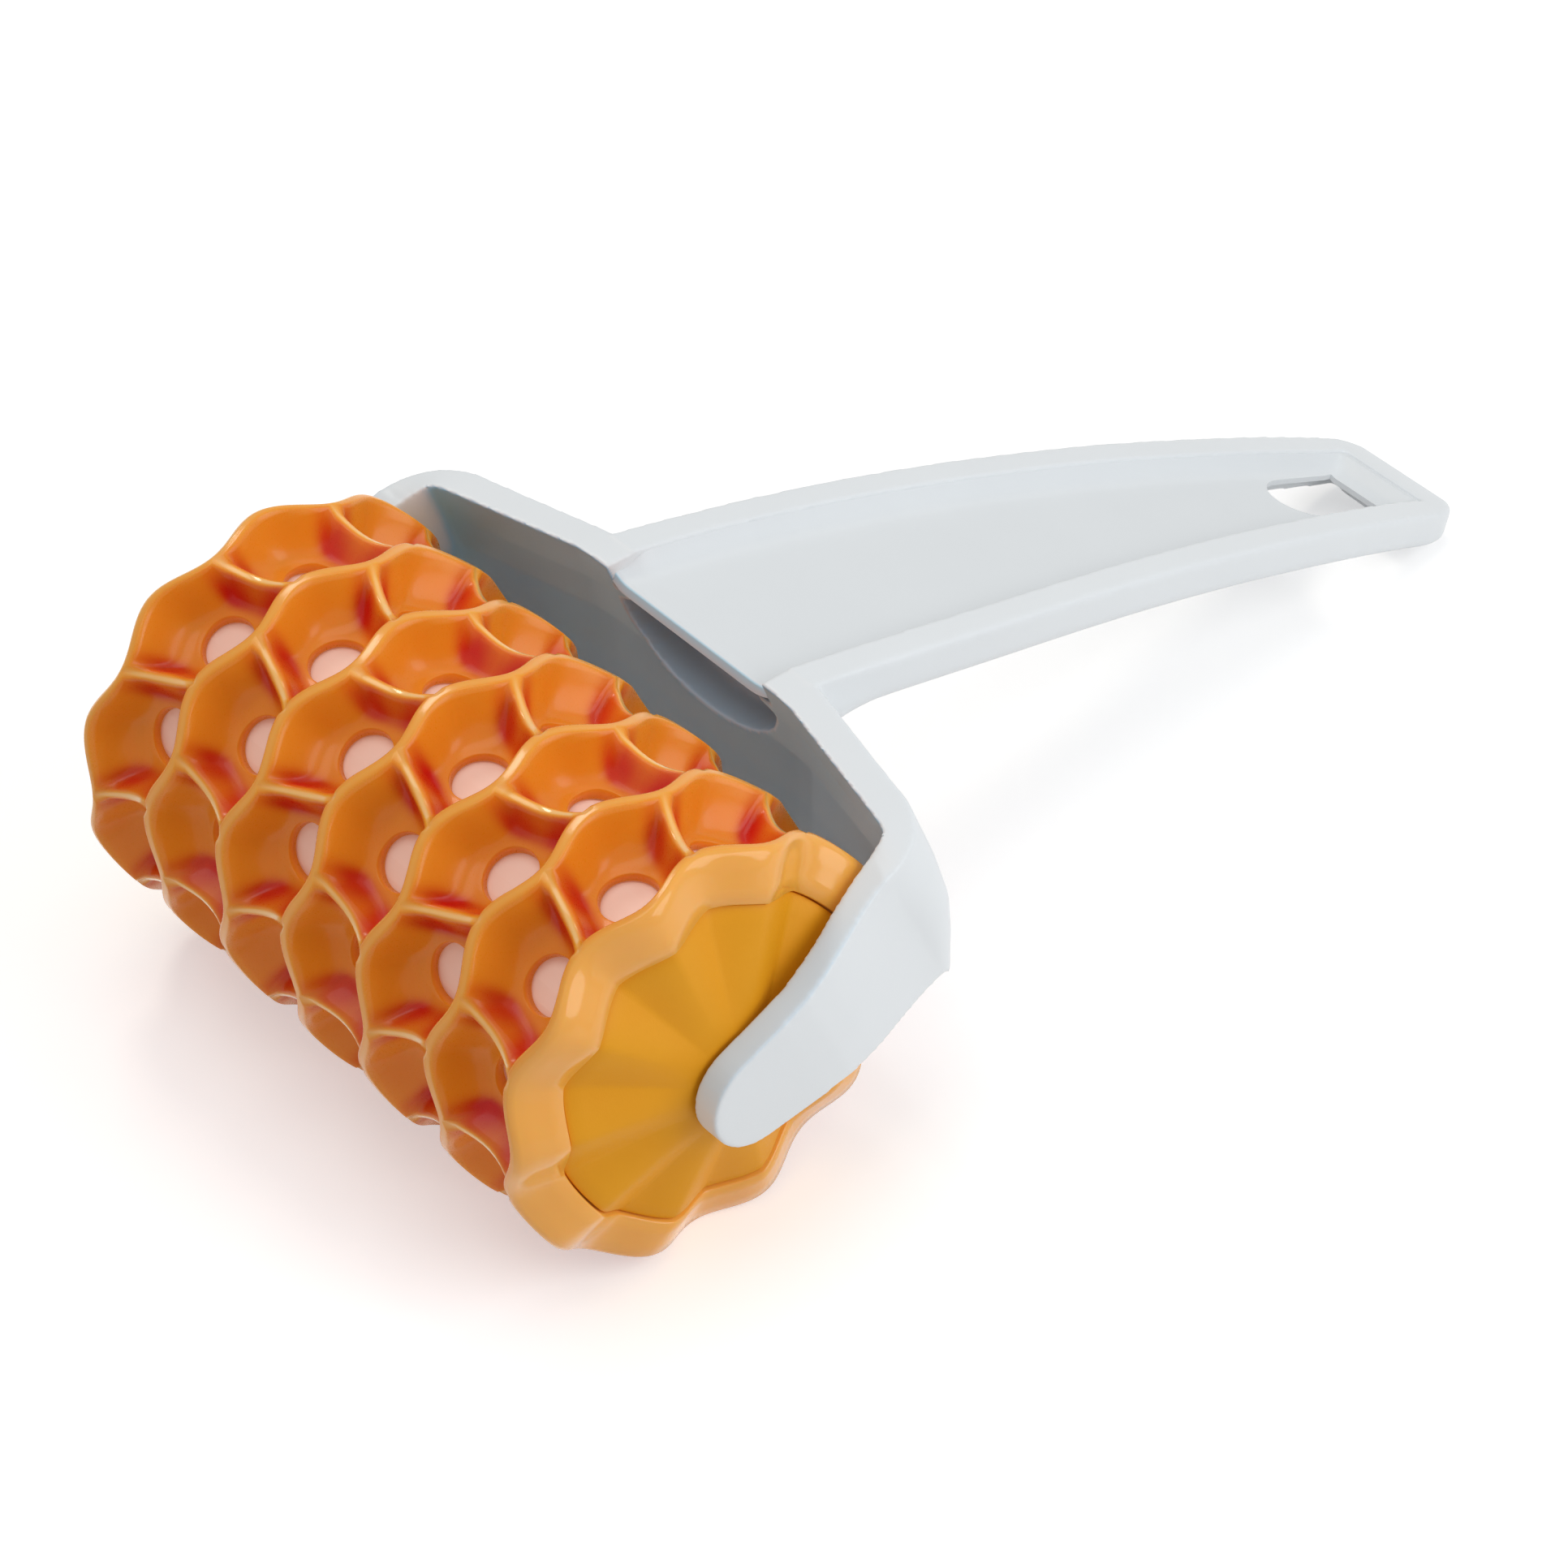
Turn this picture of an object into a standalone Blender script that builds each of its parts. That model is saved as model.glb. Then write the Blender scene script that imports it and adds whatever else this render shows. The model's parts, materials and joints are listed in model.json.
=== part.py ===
"""Breadstick roller: a waved lattice drum that spins between the arms of a yoke with a tray handle.

The drum's axle lies along Y. The handle runs towards +X and slopes down, so the tool lies on its
drum and on the end of its handle, as it does on a table. The origin is on the table, below the
middle of the tool's box. Metres, +Z up.
"""
import math

import bmesh
import bpy
from mathutils import Vector

for old in list(bpy.data.objects):
    bpy.data.objects.remove(old, do_unlink=True)

# Clearances
SEAT_GAP = 0.0003            # gap between two pieces that touch on the real object
END_PLAY = 0.0006            # side play between the drum's hub and the arm
CUT_OVERRUN = 0.0040         # how far a cut runs past the face it opens

# Cutter drum
RING_COUNT = 7               # waved cutting rings, an odd number
LOBE_COUNT = 10              # waves round each ring
RING_PITCH = 0.0150          # spacing of the rings along the axle
CREST_RADIUS = 0.03065       # cutting edge of the rings
WAVE_AMPLITUDE = 0.0014      # sideways swing of each ring
WAVE_START_ANGLE = 14.92     # degrees from +X to the first wave top of an odd ring
RIB_SLANT_ANGLE = 9.66       # degrees that the even rings lag behind the odd ones
CELL_DEPTH = 0.00775         # from the rings' edges down to the floor of a cell
FLOOR_THICKNESS = 0.0006     # wall left round each opening in a cell's floor
BAND_DROP = 0.00695          # the cap's seat lies this far below the rings' edges
RIB_DROP = 0.0024            # a rib's saddle below the rings' edges
SHOULDER_DROP = 0.0005       # fall of a ring's rounded edge
SHOULDER_RUN = 0.0010        # half the width of that edge
FOOT_DROP = 0.0042           # fall of a ring's steep side
FOOT_RUN = 0.0024            # distance from the edge to the foot of that side
FLANK_DROP = 0.0055          # fall of a rib's flank towards the cell's opening
OPENING_HALF_LENGTH = 0.0036  # cell opening, along the axle
OPENING_HALF_ARC = 0.0042    # cell opening, round the drum
BAND_RISE = 0.0028           # the end band leans out by this much towards the cap

# Inner core
CORE_WALL = 0.0020           # wall of the pale tube behind the lattice

# End caps
CAP_PLUG_DEPTH = 0.0032      # how far a cap reaches into the shell
CAP_PLEAT_DEPTH = 0.0009     # folds of the cap half-way to the hub
CAP_HUB_RADIUS = 0.0078      # flat hub in the middle of a cap
CAP_HUB_RISE = 0.0042        # the hub stands out from the middle of the waved rim
CAP_WAVE_AMPLITUDE = 0.0013  # wave of the cap's rim

# Axle
AXLE_RADIUS = 0.0030
SOCKET_DEPTH = 0.0024        # blind hole in each arm for the axle

# Yoke
ARM_TIP_RADIUS = 0.0073
ARM_THICKNESS = 0.0043
ARM_TOP_ANGLE = 43.0         # degrees of the arm's upper edge above the handle's line
ARM_BOTTOM_ANGLE = 26.5      # degrees of its lower edge
ARM_FLAT_REACH = 0.0165      # the arm stays flat this far from the axle
ARM_END_SHORT = 0.00065      # the arm's straight part ends this much short of the rings' edges
ARM_SET_IN = 0.0047          # the arm steps in by this much on its way to the back wall
CORNER_SET_BACK = 0.01005    # the back wall's inner top corner, short of the drum's front
CORNER_DROP = 0.0015         # and below the drum's top
CORNER_SIDE_STEP = 0.00095   # and sideways from the arm's inner face
CORNER_ROUND = 0.0060        # length of the corner's bend along the back wall
CORNER_BOTTOM_Z = 0.0078     # lower edge of the back wall at the corner
CORNER_BULGE = 0.0028        # swells the outer corner below the rim
WALL_THICKNESS = 0.0051      # back wall, measured along the handle
WALL_RIM_LIFT = 0.0017       # the rim's outer edge stands above its inner edge
WALL_BOW = 0.0048            # the wall's middle lies further back than its corners
WALL_KNEE_DROP = 0.0099      # the wall curls round the drum: its knee lies this far below the rim
WALL_UPPER_LEAN = 0.80       # slope above the knee: run back over height
WALL_LOWER_LEAN = 0.25       # slope below it
WALL_CENTRE_BOTTOM_Z = 0.0060  # lower edge of the back wall in the middle
WALL_RIM_RISE = 0.0031       # the rim climbs from the corner to the handle

# Handle
ROOT_SET_BACK = 0.00145      # where the handle leaves the back wall, short of the drum's front
HANDLE_LENGTH = 0.1393
ROOT_HALF_WIDTH = 0.0209
RIM_ROOT_RISE = 0.00325      # top of the rim at the root, above the drum's top
ARCH_RISE = 0.0044           # height that the rim's arch adds
RIM_WIDTH = 0.0047
SKIRT_DEPTH = 0.0047         # upright side of the handle
HULL_ROOT_DEPTH = 0.0110     # rim to the lowest line of the curved underside, at the root
HULL_END_DEPTH = 0.0070      # the same at the handle's end
HULL_WALL = 0.0024
HULL_OVERLAP = 0.0006        # the handle starts this deep inside the back wall
LEDGE_WIDTH = 0.0010         # step that the tray panel rests on
LEDGE_THICKNESS = 0.0008     # and its thickness above the hollow
END_ROUND_DEPTH = 0.0024     # rounding of the underside at the very end
ROOT_EXTRA_DEPTH = 0.0048    # the underside deepens by this much at the back wall
MOUTH_FLARE = 0.0220         # the hollow's mouth deepens towards the drum by this much
MOUTH_SIDE_FLARE = 0.0060    # and widens by this much at each side

# Shares of HANDLE_LENGTH, ROOT_HALF_WIDTH and ARCH_RISE, station by station
STATION_SHARES = (0.0, 0.10, 0.16, 0.27, 0.387, 0.50, 0.615, 0.732, 0.849, 0.92, 0.957, 0.986, 1.0)
WIDTH_SHARES = (1.0, 0.995, 0.986, 0.957, 0.906, 0.849, 0.791, 0.727, 0.662, 0.62, 0.595, 0.54, 0.43)
ARCH_SHARES = (0.0, 0.34, 0.50, 0.74, 0.92, 1.0, 0.98, 0.84, 0.62, 0.42, 0.30, 0.22, 0.17)
HOLLOW_STATION = 5           # the hollow under the tray panel ends here
SLOT_STATION = 8             # the station where the hanging slot begins

# Tray panel and hanging slot
TRAY_DEPTH = 0.0033          # panel's top below the rim
TRAY_SIDE_RUN = 0.0020       # the tray's sides slope in by this much
TRAY_END_RUN = 0.0042        # its end slopes in by this much
PANEL_THICKNESS = 0.0016
PANEL_FRONT_SET_BACK = 0.0030  # panel's front edge behind the wall's outer face
SLOT_SIDE_MARGIN = 0.00125   # the tray's floor left at each side of the slot
SLOT_LENGTH = 0.0178
SLOT_RELIEF = 0.0018         # below the panel the slot is wider all round
END_WALL_THICKNESS = 0.0048

# Radii and places that follow the drum
FLOOR_RADIUS = CREST_RADIUS - CELL_DEPTH
SHELL_BORE_RADIUS = FLOOR_RADIUS - FLOOR_THICKNESS
CAP_SEAT_RADIUS = CREST_RADIUS - BAND_DROP
ARM_REACH = CREST_RADIUS - ARM_END_SHORT
DRUM_HALF = (RING_COUNT - 1) / 2 * RING_PITCH
HUB_FACE_Y = DRUM_HALF + BAND_RISE + CAP_HUB_RISE
ARM_INNER_Y = HUB_FACE_Y + END_PLAY
CORNER_Y = ARM_INNER_Y - ARM_SET_IN - CORNER_SIDE_STEP
CORNER_X = CREST_RADIUS - CORNER_SET_BACK
CORNER_Z = CREST_RADIUS - CORNER_DROP
HANDLE_ROOT_X = CREST_RADIUS - ROOT_SET_BACK
RIM_ROOT_Z = CREST_RADIUS + RIM_ROOT_RISE

# Half the slot's width, from the tray's width beside it
TRAY_END_STATION = 9
TRAY_END_HALF_WIDTH = ROOT_HALF_WIDTH * WIDTH_SHARES[TRAY_END_STATION] - RIM_WIDTH
SLOT_HALF_WIDTH = TRAY_END_HALF_WIDTH - TRAY_SIDE_RUN - SLOT_SIDE_MARGIN

# Facets
ARC_SIDES = 24               # sides of small round pieces
CORE_SIDES = 60
LOBE_COLUMNS = 8             # facets round the drum in each wave


def material(name, rgb, roughness, metallic=0.0):
    """A plain Principled surface in the piece's own colour."""
    mat = bpy.data.materials.new(name)
    mat.use_nodes = True
    shader = mat.node_tree.nodes["Principled BSDF"]
    shader.inputs["Base Color"].default_value = (*rgb, 1.0)
    shader.inputs["Roughness"].default_value = roughness
    shader.inputs["Metallic"].default_value = metallic
    return mat


ORANGE = material("cutter_orange", (0.75, 0.20, 0.02), 0.25)
AMBER = material("cap_amber", (0.74, 0.30, 0.03), 0.40)
PALE = material("core_pale", (0.85, 0.62, 0.52), 0.50)
WHITE = material("handle_white", (0.72, 0.75, 0.77), 0.40)
PANEL = material("panel_white", (0.70, 0.73, 0.75), 0.45)
STEEL = material("axle_steel", (0.55, 0.55, 0.56), 0.30, 1.0)


def make_object(name, verts, faces, mat=None):
    """Build a mesh object from points and faces, with its faces turned outwards."""
    mesh = bpy.data.meshes.new(name)
    mesh.from_pydata([tuple(v) for v in verts], [], faces)
    bm = bmesh.new()
    bm.from_mesh(mesh)
    bmesh.ops.recalc_face_normals(bm, faces=bm.faces)
    bm.to_mesh(mesh)
    bm.free()
    obj = bpy.data.objects.new(name, mesh)
    bpy.context.collection.objects.link(obj)
    if mat:
        mesh.materials.append(mat)
        mesh.shade_smooth()
        mesh.set_sharp_from_angle(angle=math.radians(32.0))
    return obj


def loft(name, loops, mat=None):
    """Skin a row of closed loops that have the same number of points, and close both ends."""
    count = len(loops[0])
    verts = [p for ring in loops for p in ring]
    faces = []
    for row in range(len(loops) - 1):
        a, b = row * count, (row + 1) * count
        for i in range(count):
            j = (i + 1) % count
            faces.append((a + i, a + j, b + j, b + i))
    faces.append(tuple(range(count)))
    faces.append(tuple(range((len(loops) - 1) * count, len(loops) * count)))
    return make_object(name, verts, faces, mat)


def turned(name, profile, sides, mat=None):
    """Turn a closed profile of (radius, y) points about the Y axis."""
    loops = []
    for (radius, y) in profile:
        loops.append([(radius * math.cos(2 * math.pi * i / sides), y,
                       radius * math.sin(2 * math.pi * i / sides)) for i in range(sides)])
    count = len(profile)
    verts = [p for ring in loops for p in ring]
    faces = []
    for row in range(count):
        a, b = row * sides, ((row + 1) % count) * sides
        for i in range(sides):
            j = (i + 1) % sides
            faces.append((a + i, a + j, b + j, b + i))
    return make_object(name, verts, faces, mat)


def rod(name, radius, y_low, y_high, sides, mat=None):
    """A plain round bar along Y."""
    loops = [[(radius * math.cos(2 * math.pi * i / sides), y,
               radius * math.sin(2 * math.pi * i / sides)) for i in range(sides)]
             for y in (y_low, y_high)]
    return loft(name, loops, mat)


def cut(target, cutter, operation="DIFFERENCE"):
    """Take a cutter out of a piece, or join it to the piece, and keep the cutter as a guide."""
    step = target.modifiers.new(cutter.name, "BOOLEAN")
    step.object = cutter
    step.operation = operation
    step.solver = "EXACT"
    cutter.hide_render = True
    cutter.display_type = "WIRE"


# The drum
def ring_y(ring, phase):
    """Place of a ring's edge along the axle. Neighbouring rings swing opposite ways."""
    swing = WAVE_AMPLITUDE * math.cos(math.radians(phase))
    centre = ((RING_COUNT - 1) / 2 - ring) * RING_PITCH
    return centre + (swing if ring % 2 == 0 else -swing)


def ring_lag(ring):
    """Angle by which a ring lags: the ribs between lagging rings run in a zigzag."""
    return 0.0 if ring % 2 == 0 else -RIB_SLANT_ANGLE


def drum_angle(phase, lag):
    return math.radians(WAVE_START_ANGLE + phase / LOBE_COUNT + lag)


def on_drum(radius, y, angle):
    return (radius * math.cos(angle), y, radius * math.sin(angle))


COLUMNS = LOBE_COUNT * LOBE_COLUMNS
STEP_PHASE = 360.0 / LOBE_COLUMNS
QUARTER = LOBE_COLUMNS // 4


def cell_point(channel, column, row, inner=False):
    """A point of a cell's skin. Rows 0 to 7 run from one ring's edge to the next ring's edge.

    Row 1 is the foot of a ring's rounded edge and row 2 the foot of its steep side, and rows 7
    and 6 are the same on the next ring. Each cell is centred between two ribs. Around its middle
    the skin is left out, and rows 3 to 5 bend round that opening.
    """
    phase = column * STEP_PHASE
    centre = 0.0 if channel % 2 == 0 else 180.0
    off = (phase - centre + 180.0) % 360.0 - 180.0
    steps = round(off / STEP_PHASE)
    near_y, far_y = ring_y(channel, phase), ring_y(channel + 1, phase)
    near_lag, far_lag = ring_lag(channel), ring_lag(channel + 1)
    span = near_y - far_y
    on_rib = abs(abs(off) - 180.0) < STEP_PHASE / 2
    on_flank = abs(steps) > QUARTER and not on_rib
    if row in (0, 1, 2, 6, 7):
        run = {0: 0.0, 1: SHOULDER_RUN, 2: FOOT_RUN, 6: span - FOOT_RUN, 7: span - SHOULDER_RUN}[row]
        foot = FOOT_DROP
        if on_rib:
            foot = (SHOULDER_DROP + RIB_DROP) / 2
        elif on_flank:
            foot = (FOOT_DROP + RIB_DROP) / 2
        drop = {0: 0.0, 1: SHOULDER_DROP, 7: SHOULDER_DROP}.get(row, foot)
        share = run / span
        return on_drum(CREST_RADIUS - drop, near_y - run,
                       drum_angle(phase, near_lag + (far_lag - near_lag) * share))
    middle_y = (near_y + far_y) / 2
    middle_lag = (near_lag + far_lag) / 2
    if abs(steps) <= QUARTER:
        turn = {3: 1, 4: 0, 5: -1}[row]
        if turn:
            around = 90.0 - 60.0 * steps / QUARTER
            up = math.sin(math.radians(around))
            side = math.cos(math.radians(around))
        else:
            up, side = 0.0, steps / QUARTER
        arc = math.degrees(OPENING_HALF_ARC * side / FLOOR_RADIUS)
        radius = SHELL_BORE_RADIUS if inner else FLOOR_RADIUS
        turns = math.floor((phase - centre + 180.0) / 360.0)
        angle = math.radians(centre / LOBE_COUNT + middle_lag + WAVE_START_ANGLE + arc
                             + 360.0 / LOBE_COUNT * turns)
        return on_drum(radius, middle_y_at(channel, centre) + turn * up * OPENING_HALF_LENGTH, angle)
    share = {3: 0.29, 4: 0.5, 5: 0.71}[row]
    drop = FLANK_DROP
    if on_rib:
        drop = RIB_DROP if row == 4 else (FOOT_DROP + RIB_DROP * 5) / 7
    radius = SHELL_BORE_RADIUS if inner else CREST_RADIUS - drop
    return on_drum(radius, near_y - span * share,
                   drum_angle(phase, near_lag + (far_lag - near_lag) * share))


def middle_y_at(channel, phase):
    return (ring_y(channel, phase) + ring_y(channel + 1, phase)) / 2


def make_lattice():
    """Lattice shell: waved rings, slanted ribs and an opening in the floor of every cell."""
    verts, index, faces = [], {}, []

    def put(key, point):
        if key not in index:
            index[key] = len(verts)
            verts.append(point)
        return index[key]

    def outer(channel, column, row):
        column %= COLUMNS
        if row == 8:
            channel, row = channel + 1, 0
        if channel == RING_COUNT - 1:
            phase = column * STEP_PHASE
            return put(("crest", column), on_drum(CREST_RADIUS, ring_y(channel, phase),
                                                  drum_angle(phase, ring_lag(channel))))
        return put(("out", channel, column, row), cell_point(channel, column, row))

    def inside(channel, column, row):
        column %= COLUMNS
        return put(("in", channel, column, row), cell_point(channel, column, row, True))

    def rim(end, column, level):
        """The end's inner edges: the waved rim, the foot of the cap's seat and the bore's edge."""
        column %= COLUMNS
        ring = 0 if end > 0 else RING_COUNT - 1
        phase = column * STEP_PHASE
        if level == 0:
            y, radius = ring_y(ring, phase) + end * BAND_RISE, CAP_SEAT_RADIUS
        else:
            y, radius = end * SEAT_FOOT_Y, CAP_SEAT_RADIUS if level == 1 else SHELL_BORE_RADIUS
        return put(("rim", end, column, level), on_drum(radius, y, drum_angle(phase, ring_lag(ring))))

    for channel in range(RING_COUNT - 1):
        centre = 0 if channel % 2 == 0 else LOBE_COLUMNS // 2
        for column in range(COLUMNS):
            off = (column - centre + LOBE_COLUMNS // 2) % LOBE_COLUMNS - LOBE_COLUMNS // 2
            opening = -QUARTER <= off < QUARTER
            after = column + 1
            for row in range(8):
                if not (opening and row in (3, 4)):
                    faces.append((outer(channel, column, row), outer(channel, after, row),
                                  outer(channel, after, row + 1), outer(channel, column, row + 1)))
            if opening:
                for row in (3, 5):
                    faces.append((outer(channel, column, row), outer(channel, after, row),
                                  inside(channel, after, row), inside(channel, column, row)))
                for edge, at in ((-QUARTER, column), (QUARTER - 1, after)):
                    if off == edge:
                        for row in (3, 4):
                            faces.append((outer(channel, at, row), outer(channel, at, row + 1),
                                          inside(channel, at, row + 1), inside(channel, at, row)))
            else:
                for row in (3, 4):
                    faces.append((inside(channel, column, row), inside(channel, after, row),
                                  inside(channel, after, row + 1), inside(channel, column, row + 1)))
            if channel < RING_COUNT - 2:
                faces.append((inside(channel, column, 5), inside(channel, after, 5),
                              inside(channel + 1, after, 3), inside(channel + 1, column, 3)))
    last = RING_COUNT - 2
    for column in range(COLUMNS):
        after = column + 1
        for end, crest, bore in ((1, (0, 0), (0, 3)), (-1, (last, 8), (last, 5))):
            faces.append((outer(crest[0], column, crest[1]), outer(crest[0], after, crest[1]),
                          rim(end, after, 0), rim(end, column, 0)))
            for level in (0, 1):
                faces.append((rim(end, column, level), rim(end, after, level),
                              rim(end, after, level + 1), rim(end, column, level + 1)))
            faces.append((rim(end, column, 2), rim(end, after, 2),
                          inside(bore[0], after, bore[1]), inside(bore[0], column, bore[1])))
    return make_object("cutter_drum", verts, faces, ORANGE)


SEAT_FOOT_Y = DRUM_HALF + BAND_RISE - WAVE_AMPLITUDE - CAP_PLUG_DEPTH
drum_pieces = [make_lattice()]

core_radius = SHELL_BORE_RADIUS - SEAT_GAP
core_half = SEAT_FOOT_Y
core_profile = [(core_radius, core_half), (core_radius, -core_half),
                (core_radius - CORE_WALL, -core_half), (core_radius - CORE_WALL, core_half)]
drum_pieces.append(turned("drum_core", core_profile, CORE_SIDES, PALE))

HUB_BORE_RADIUS = AXLE_RADIUS + SEAT_GAP


def make_cap(name, end):
    """Pleated end cap: folds run like sun rays from the hub to the waved rim."""
    columns = LOBE_COUNT * 4
    cap_radius = CAP_SEAT_RADIUS - SEAT_GAP
    rim_y = DRUM_HALF + BAND_RISE
    back_y = core_half + SEAT_GAP
    middle_radius = (cap_radius + CAP_HUB_RADIUS) / 2
    middle_y = (rim_y + HUB_FACE_Y) / 2
    loops = []
    for (radius, y, swing) in ((HUB_BORE_RADIUS, back_y, 0.0), (cap_radius, back_y, 0.0),
                               (cap_radius, rim_y, CAP_WAVE_AMPLITUDE),
                               (middle_radius, middle_y, CAP_PLEAT_DEPTH),
                               (CAP_HUB_RADIUS, HUB_FACE_Y, 0.0), (HUB_BORE_RADIUS, HUB_FACE_Y, 0.0)):
        loop = []
        for i in range(columns):
            phase = i * 90.0
            y_here = end * y + swing * math.cos(math.radians(phase))
            loop.append(on_drum(radius, y_here, drum_angle(phase, 0.0)))
        loops.append(loop)
    verts = [p for loop in loops for p in loop]
    faces = []
    for row in range(len(loops)):
        a, b = row * columns, ((row + 1) % len(loops)) * columns
        for i in range(columns):
            j = (i + 1) % columns
            faces.append((a + i, a + j, b + j, b + i))
    return make_object(name, verts, faces, AMBER)


drum_pieces += [make_cap("end_cap_far", 1), make_cap("end_cap_near", -1)]

# The handle's own frame
# The handle is laid out level and then turned about the axle until the drum and the handle's
# end both touch the table.
def station_x(i):
    return HANDLE_ROOT_X + HANDLE_LENGTH * STATION_SHARES[i]


def station_rim(i):
    return RIM_ROOT_Z + ARCH_RISE * ARCH_SHARES[i]


def station_depth(i):
    """From the rim down to the lowest line of the curved underside."""
    depth = HULL_ROOT_DEPTH + (HULL_END_DEPTH - HULL_ROOT_DEPTH) * STATION_SHARES[i]
    if i == 0:
        depth += ROOT_EXTRA_DEPTH
    if i == len(STATION_SHARES) - 1:
        depth -= END_ROUND_DEPTH
    return depth


def touching_tilt(x, z):
    """The turn about the axle that brings a point down to the table under the drum."""
    return math.asin(CREST_RADIUS / math.hypot(x, z)) + math.atan2(z, x)


TILT = min(touching_tilt(station_x(i), station_rim(i) - station_depth(i))
           for i in range(len(STATION_SHARES)))
REACH = station_x(-1) * math.cos(TILT) + station_rim(-1) * math.sin(TILT)


def add_empty(name, place, turn=0.0):
    """An empty that carries other objects, turned about Y."""
    empty = bpy.data.objects.new(name, None)
    bpy.context.collection.objects.link(empty)
    empty.location = place
    empty.rotation_euler = (0.0, turn, 0.0)
    return empty


# The axle's place, half-way between the drum's front and the handle's end being at X = 0
axle_frame = add_empty("axle_frame", ((CREST_RADIUS - REACH) / 2, 0.0, CREST_RADIUS))
handle_frame = add_empty("handle_frame", (0.0, 0.0, 0.0), TILT)
for obj in drum_pieces + [handle_frame]:
    obj.parent = axle_frame


def in_frame(obj):
    obj.parent = handle_frame
    return obj


# The yoke
along = Vector((math.cos(math.radians(ARM_TOP_ANGLE)), math.sin(math.radians(ARM_TOP_ANGLE))))
across = Vector((-along.y, along.x))
fan = math.radians(ARM_TOP_ANGLE - ARM_BOTTOM_ANGLE)
SMOOTH_SHARES = (0.0, 0.2, 0.4, 0.6, 0.8, 1.0)


def smooth(t):
    t = min(max(t, 0.0), 1.0)
    return t * t * (3.0 - 2.0 * t)


def arm_section(s):
    """Inner bottom, inner top, outer top and outer bottom of an arm, s along it from the axle."""
    if s < 0.0:
        high = low = math.sqrt(max(ARM_TIP_RADIUS ** 2 - s * s, 0.0))
    else:
        high = ARM_TIP_RADIUS
        low = ARM_TIP_RADIUS / math.cos(fan) + s * math.tan(fan)
        low = ARM_TIP_RADIUS + (low - ARM_TIP_RADIUS) * smooth(s / ARM_TIP_RADIUS)
    top = along * s + across * high
    bottom = along * s - across * low
    step_in = ARM_SET_IN * smooth((s - ARM_FLAT_REACH) / (ARM_REACH - ARM_FLAT_REACH))
    inner, outer = ARM_INNER_Y - step_in, ARM_INNER_Y + ARM_THICKNESS - step_in
    middle = (top + bottom) / 2
    return [Vector((bottom.x, inner, bottom.y)), Vector((middle.x, inner, middle.y)),
            Vector((top.x, inner, top.y)), Vector((top.x, outer, top.y)),
            Vector((middle.x, outer, middle.y)), Vector((bottom.x, outer, bottom.y))]


def wall_section(y):
    """The back wall's foot, knee and rim inside, and its rim, knee and foot outside."""
    part = 1.0 - min(y / CORNER_Y, 1.0)
    rim_share = min(part * CORNER_Y / (CORNER_Y - ROOT_HALF_WIDTH), 1.0)
    top_z = CORNER_Z + WALL_RIM_RISE * rim_share
    top_x = CORNER_X + WALL_BOW * rim_share
    knee_z = top_z - WALL_KNEE_DROP
    knee_x = top_x + WALL_UPPER_LEAN * WALL_KNEE_DROP
    foot_z = CORNER_BOTTOM_Z + (WALL_CENTRE_BOTTOM_Z - CORNER_BOTTOM_Z) * smooth(part * 2.0)
    foot_x = knee_x + WALL_LOWER_LEAN * (knee_z - foot_z)
    return [Vector((foot_x, y, foot_z)), Vector((knee_x, y, knee_z)), Vector((top_x, y, top_z)),
            Vector((top_x + WALL_THICKNESS, y, top_z + WALL_RIM_LIFT)),
            Vector((knee_x + WALL_THICKNESS, y, knee_z)), Vector((foot_x + WALL_THICKNESS, y, foot_z))]


def bend(a, corner, b, t):
    return a * (1 - t) ** 2 + corner * (2 * t * (1 - t)) + b * t * t


tip_steps = [-ARM_TIP_RADIUS * math.cos(math.radians(a)) for a in (9, 24, 40, 56, 73)]
arm_steps = tip_steps + [0.0, ARM_TIP_RADIUS / 2, ARM_TIP_RADIUS, ARM_FLAT_REACH]
arm_steps += [ARM_FLAT_REACH + (ARM_REACH - ARM_FLAT_REACH) * t for t in (0.25, 0.5, 0.75, 1.0)]
half = [arm_section(s) for s in arm_steps]

first_wall = wall_section(CORNER_Y - CORNER_ROUND)
corner_wall = wall_section(CORNER_Y)
last_arm = half[-1]
corners = []
for i, p in enumerate(corner_wall):
    corner = Vector((p.x, CORNER_Y + (ARM_THICKNESS if i > 2 else 0.0), p.z))
    if i > 3:
        corner += Vector((CORNER_BULGE, CORNER_BULGE, 0.0))
    corners.append(corner)
for t in SMOOTH_SHARES[1:-1]:
    half.append([bend(last_arm[i], corners[i], first_wall[i], t) for i in range(len(corners))])
half.append(first_wall)
for share in (0.75, 0.5, 0.25, 0.0):
    half.append(wall_section(ROOT_HALF_WIDTH + (CORNER_Y - CORNER_ROUND - ROOT_HALF_WIDTH) * share))
half.append(wall_section(ROOT_HALF_WIDTH / 2))

other = [[Vector((p.x, -p.y, p.z)) for p in section] for section in reversed(half)]
handle_shell = in_frame(loft("handle_shell", half + other, WHITE))


# The handle
def root_x(z):
    """X where the handle starts at the height z, just inside the back wall's outer face."""
    top, knee, foot = wall_section(0.0)[3:]
    if z > knee.z:
        lean_x = knee.x + (top.x - knee.x) * (z - knee.z) / (top.z - knee.z)
    else:
        lean_x = foot.x + (knee.x - foot.x) * (z - foot.z) / (knee.z - foot.z)
    return lean_x - HULL_OVERLAP


UNDERSIDE_ANGLES = (0, 18, 38, 60, 90)
HOLLOW_ANGLES = (6, 18, 38, 60, 90)


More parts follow.
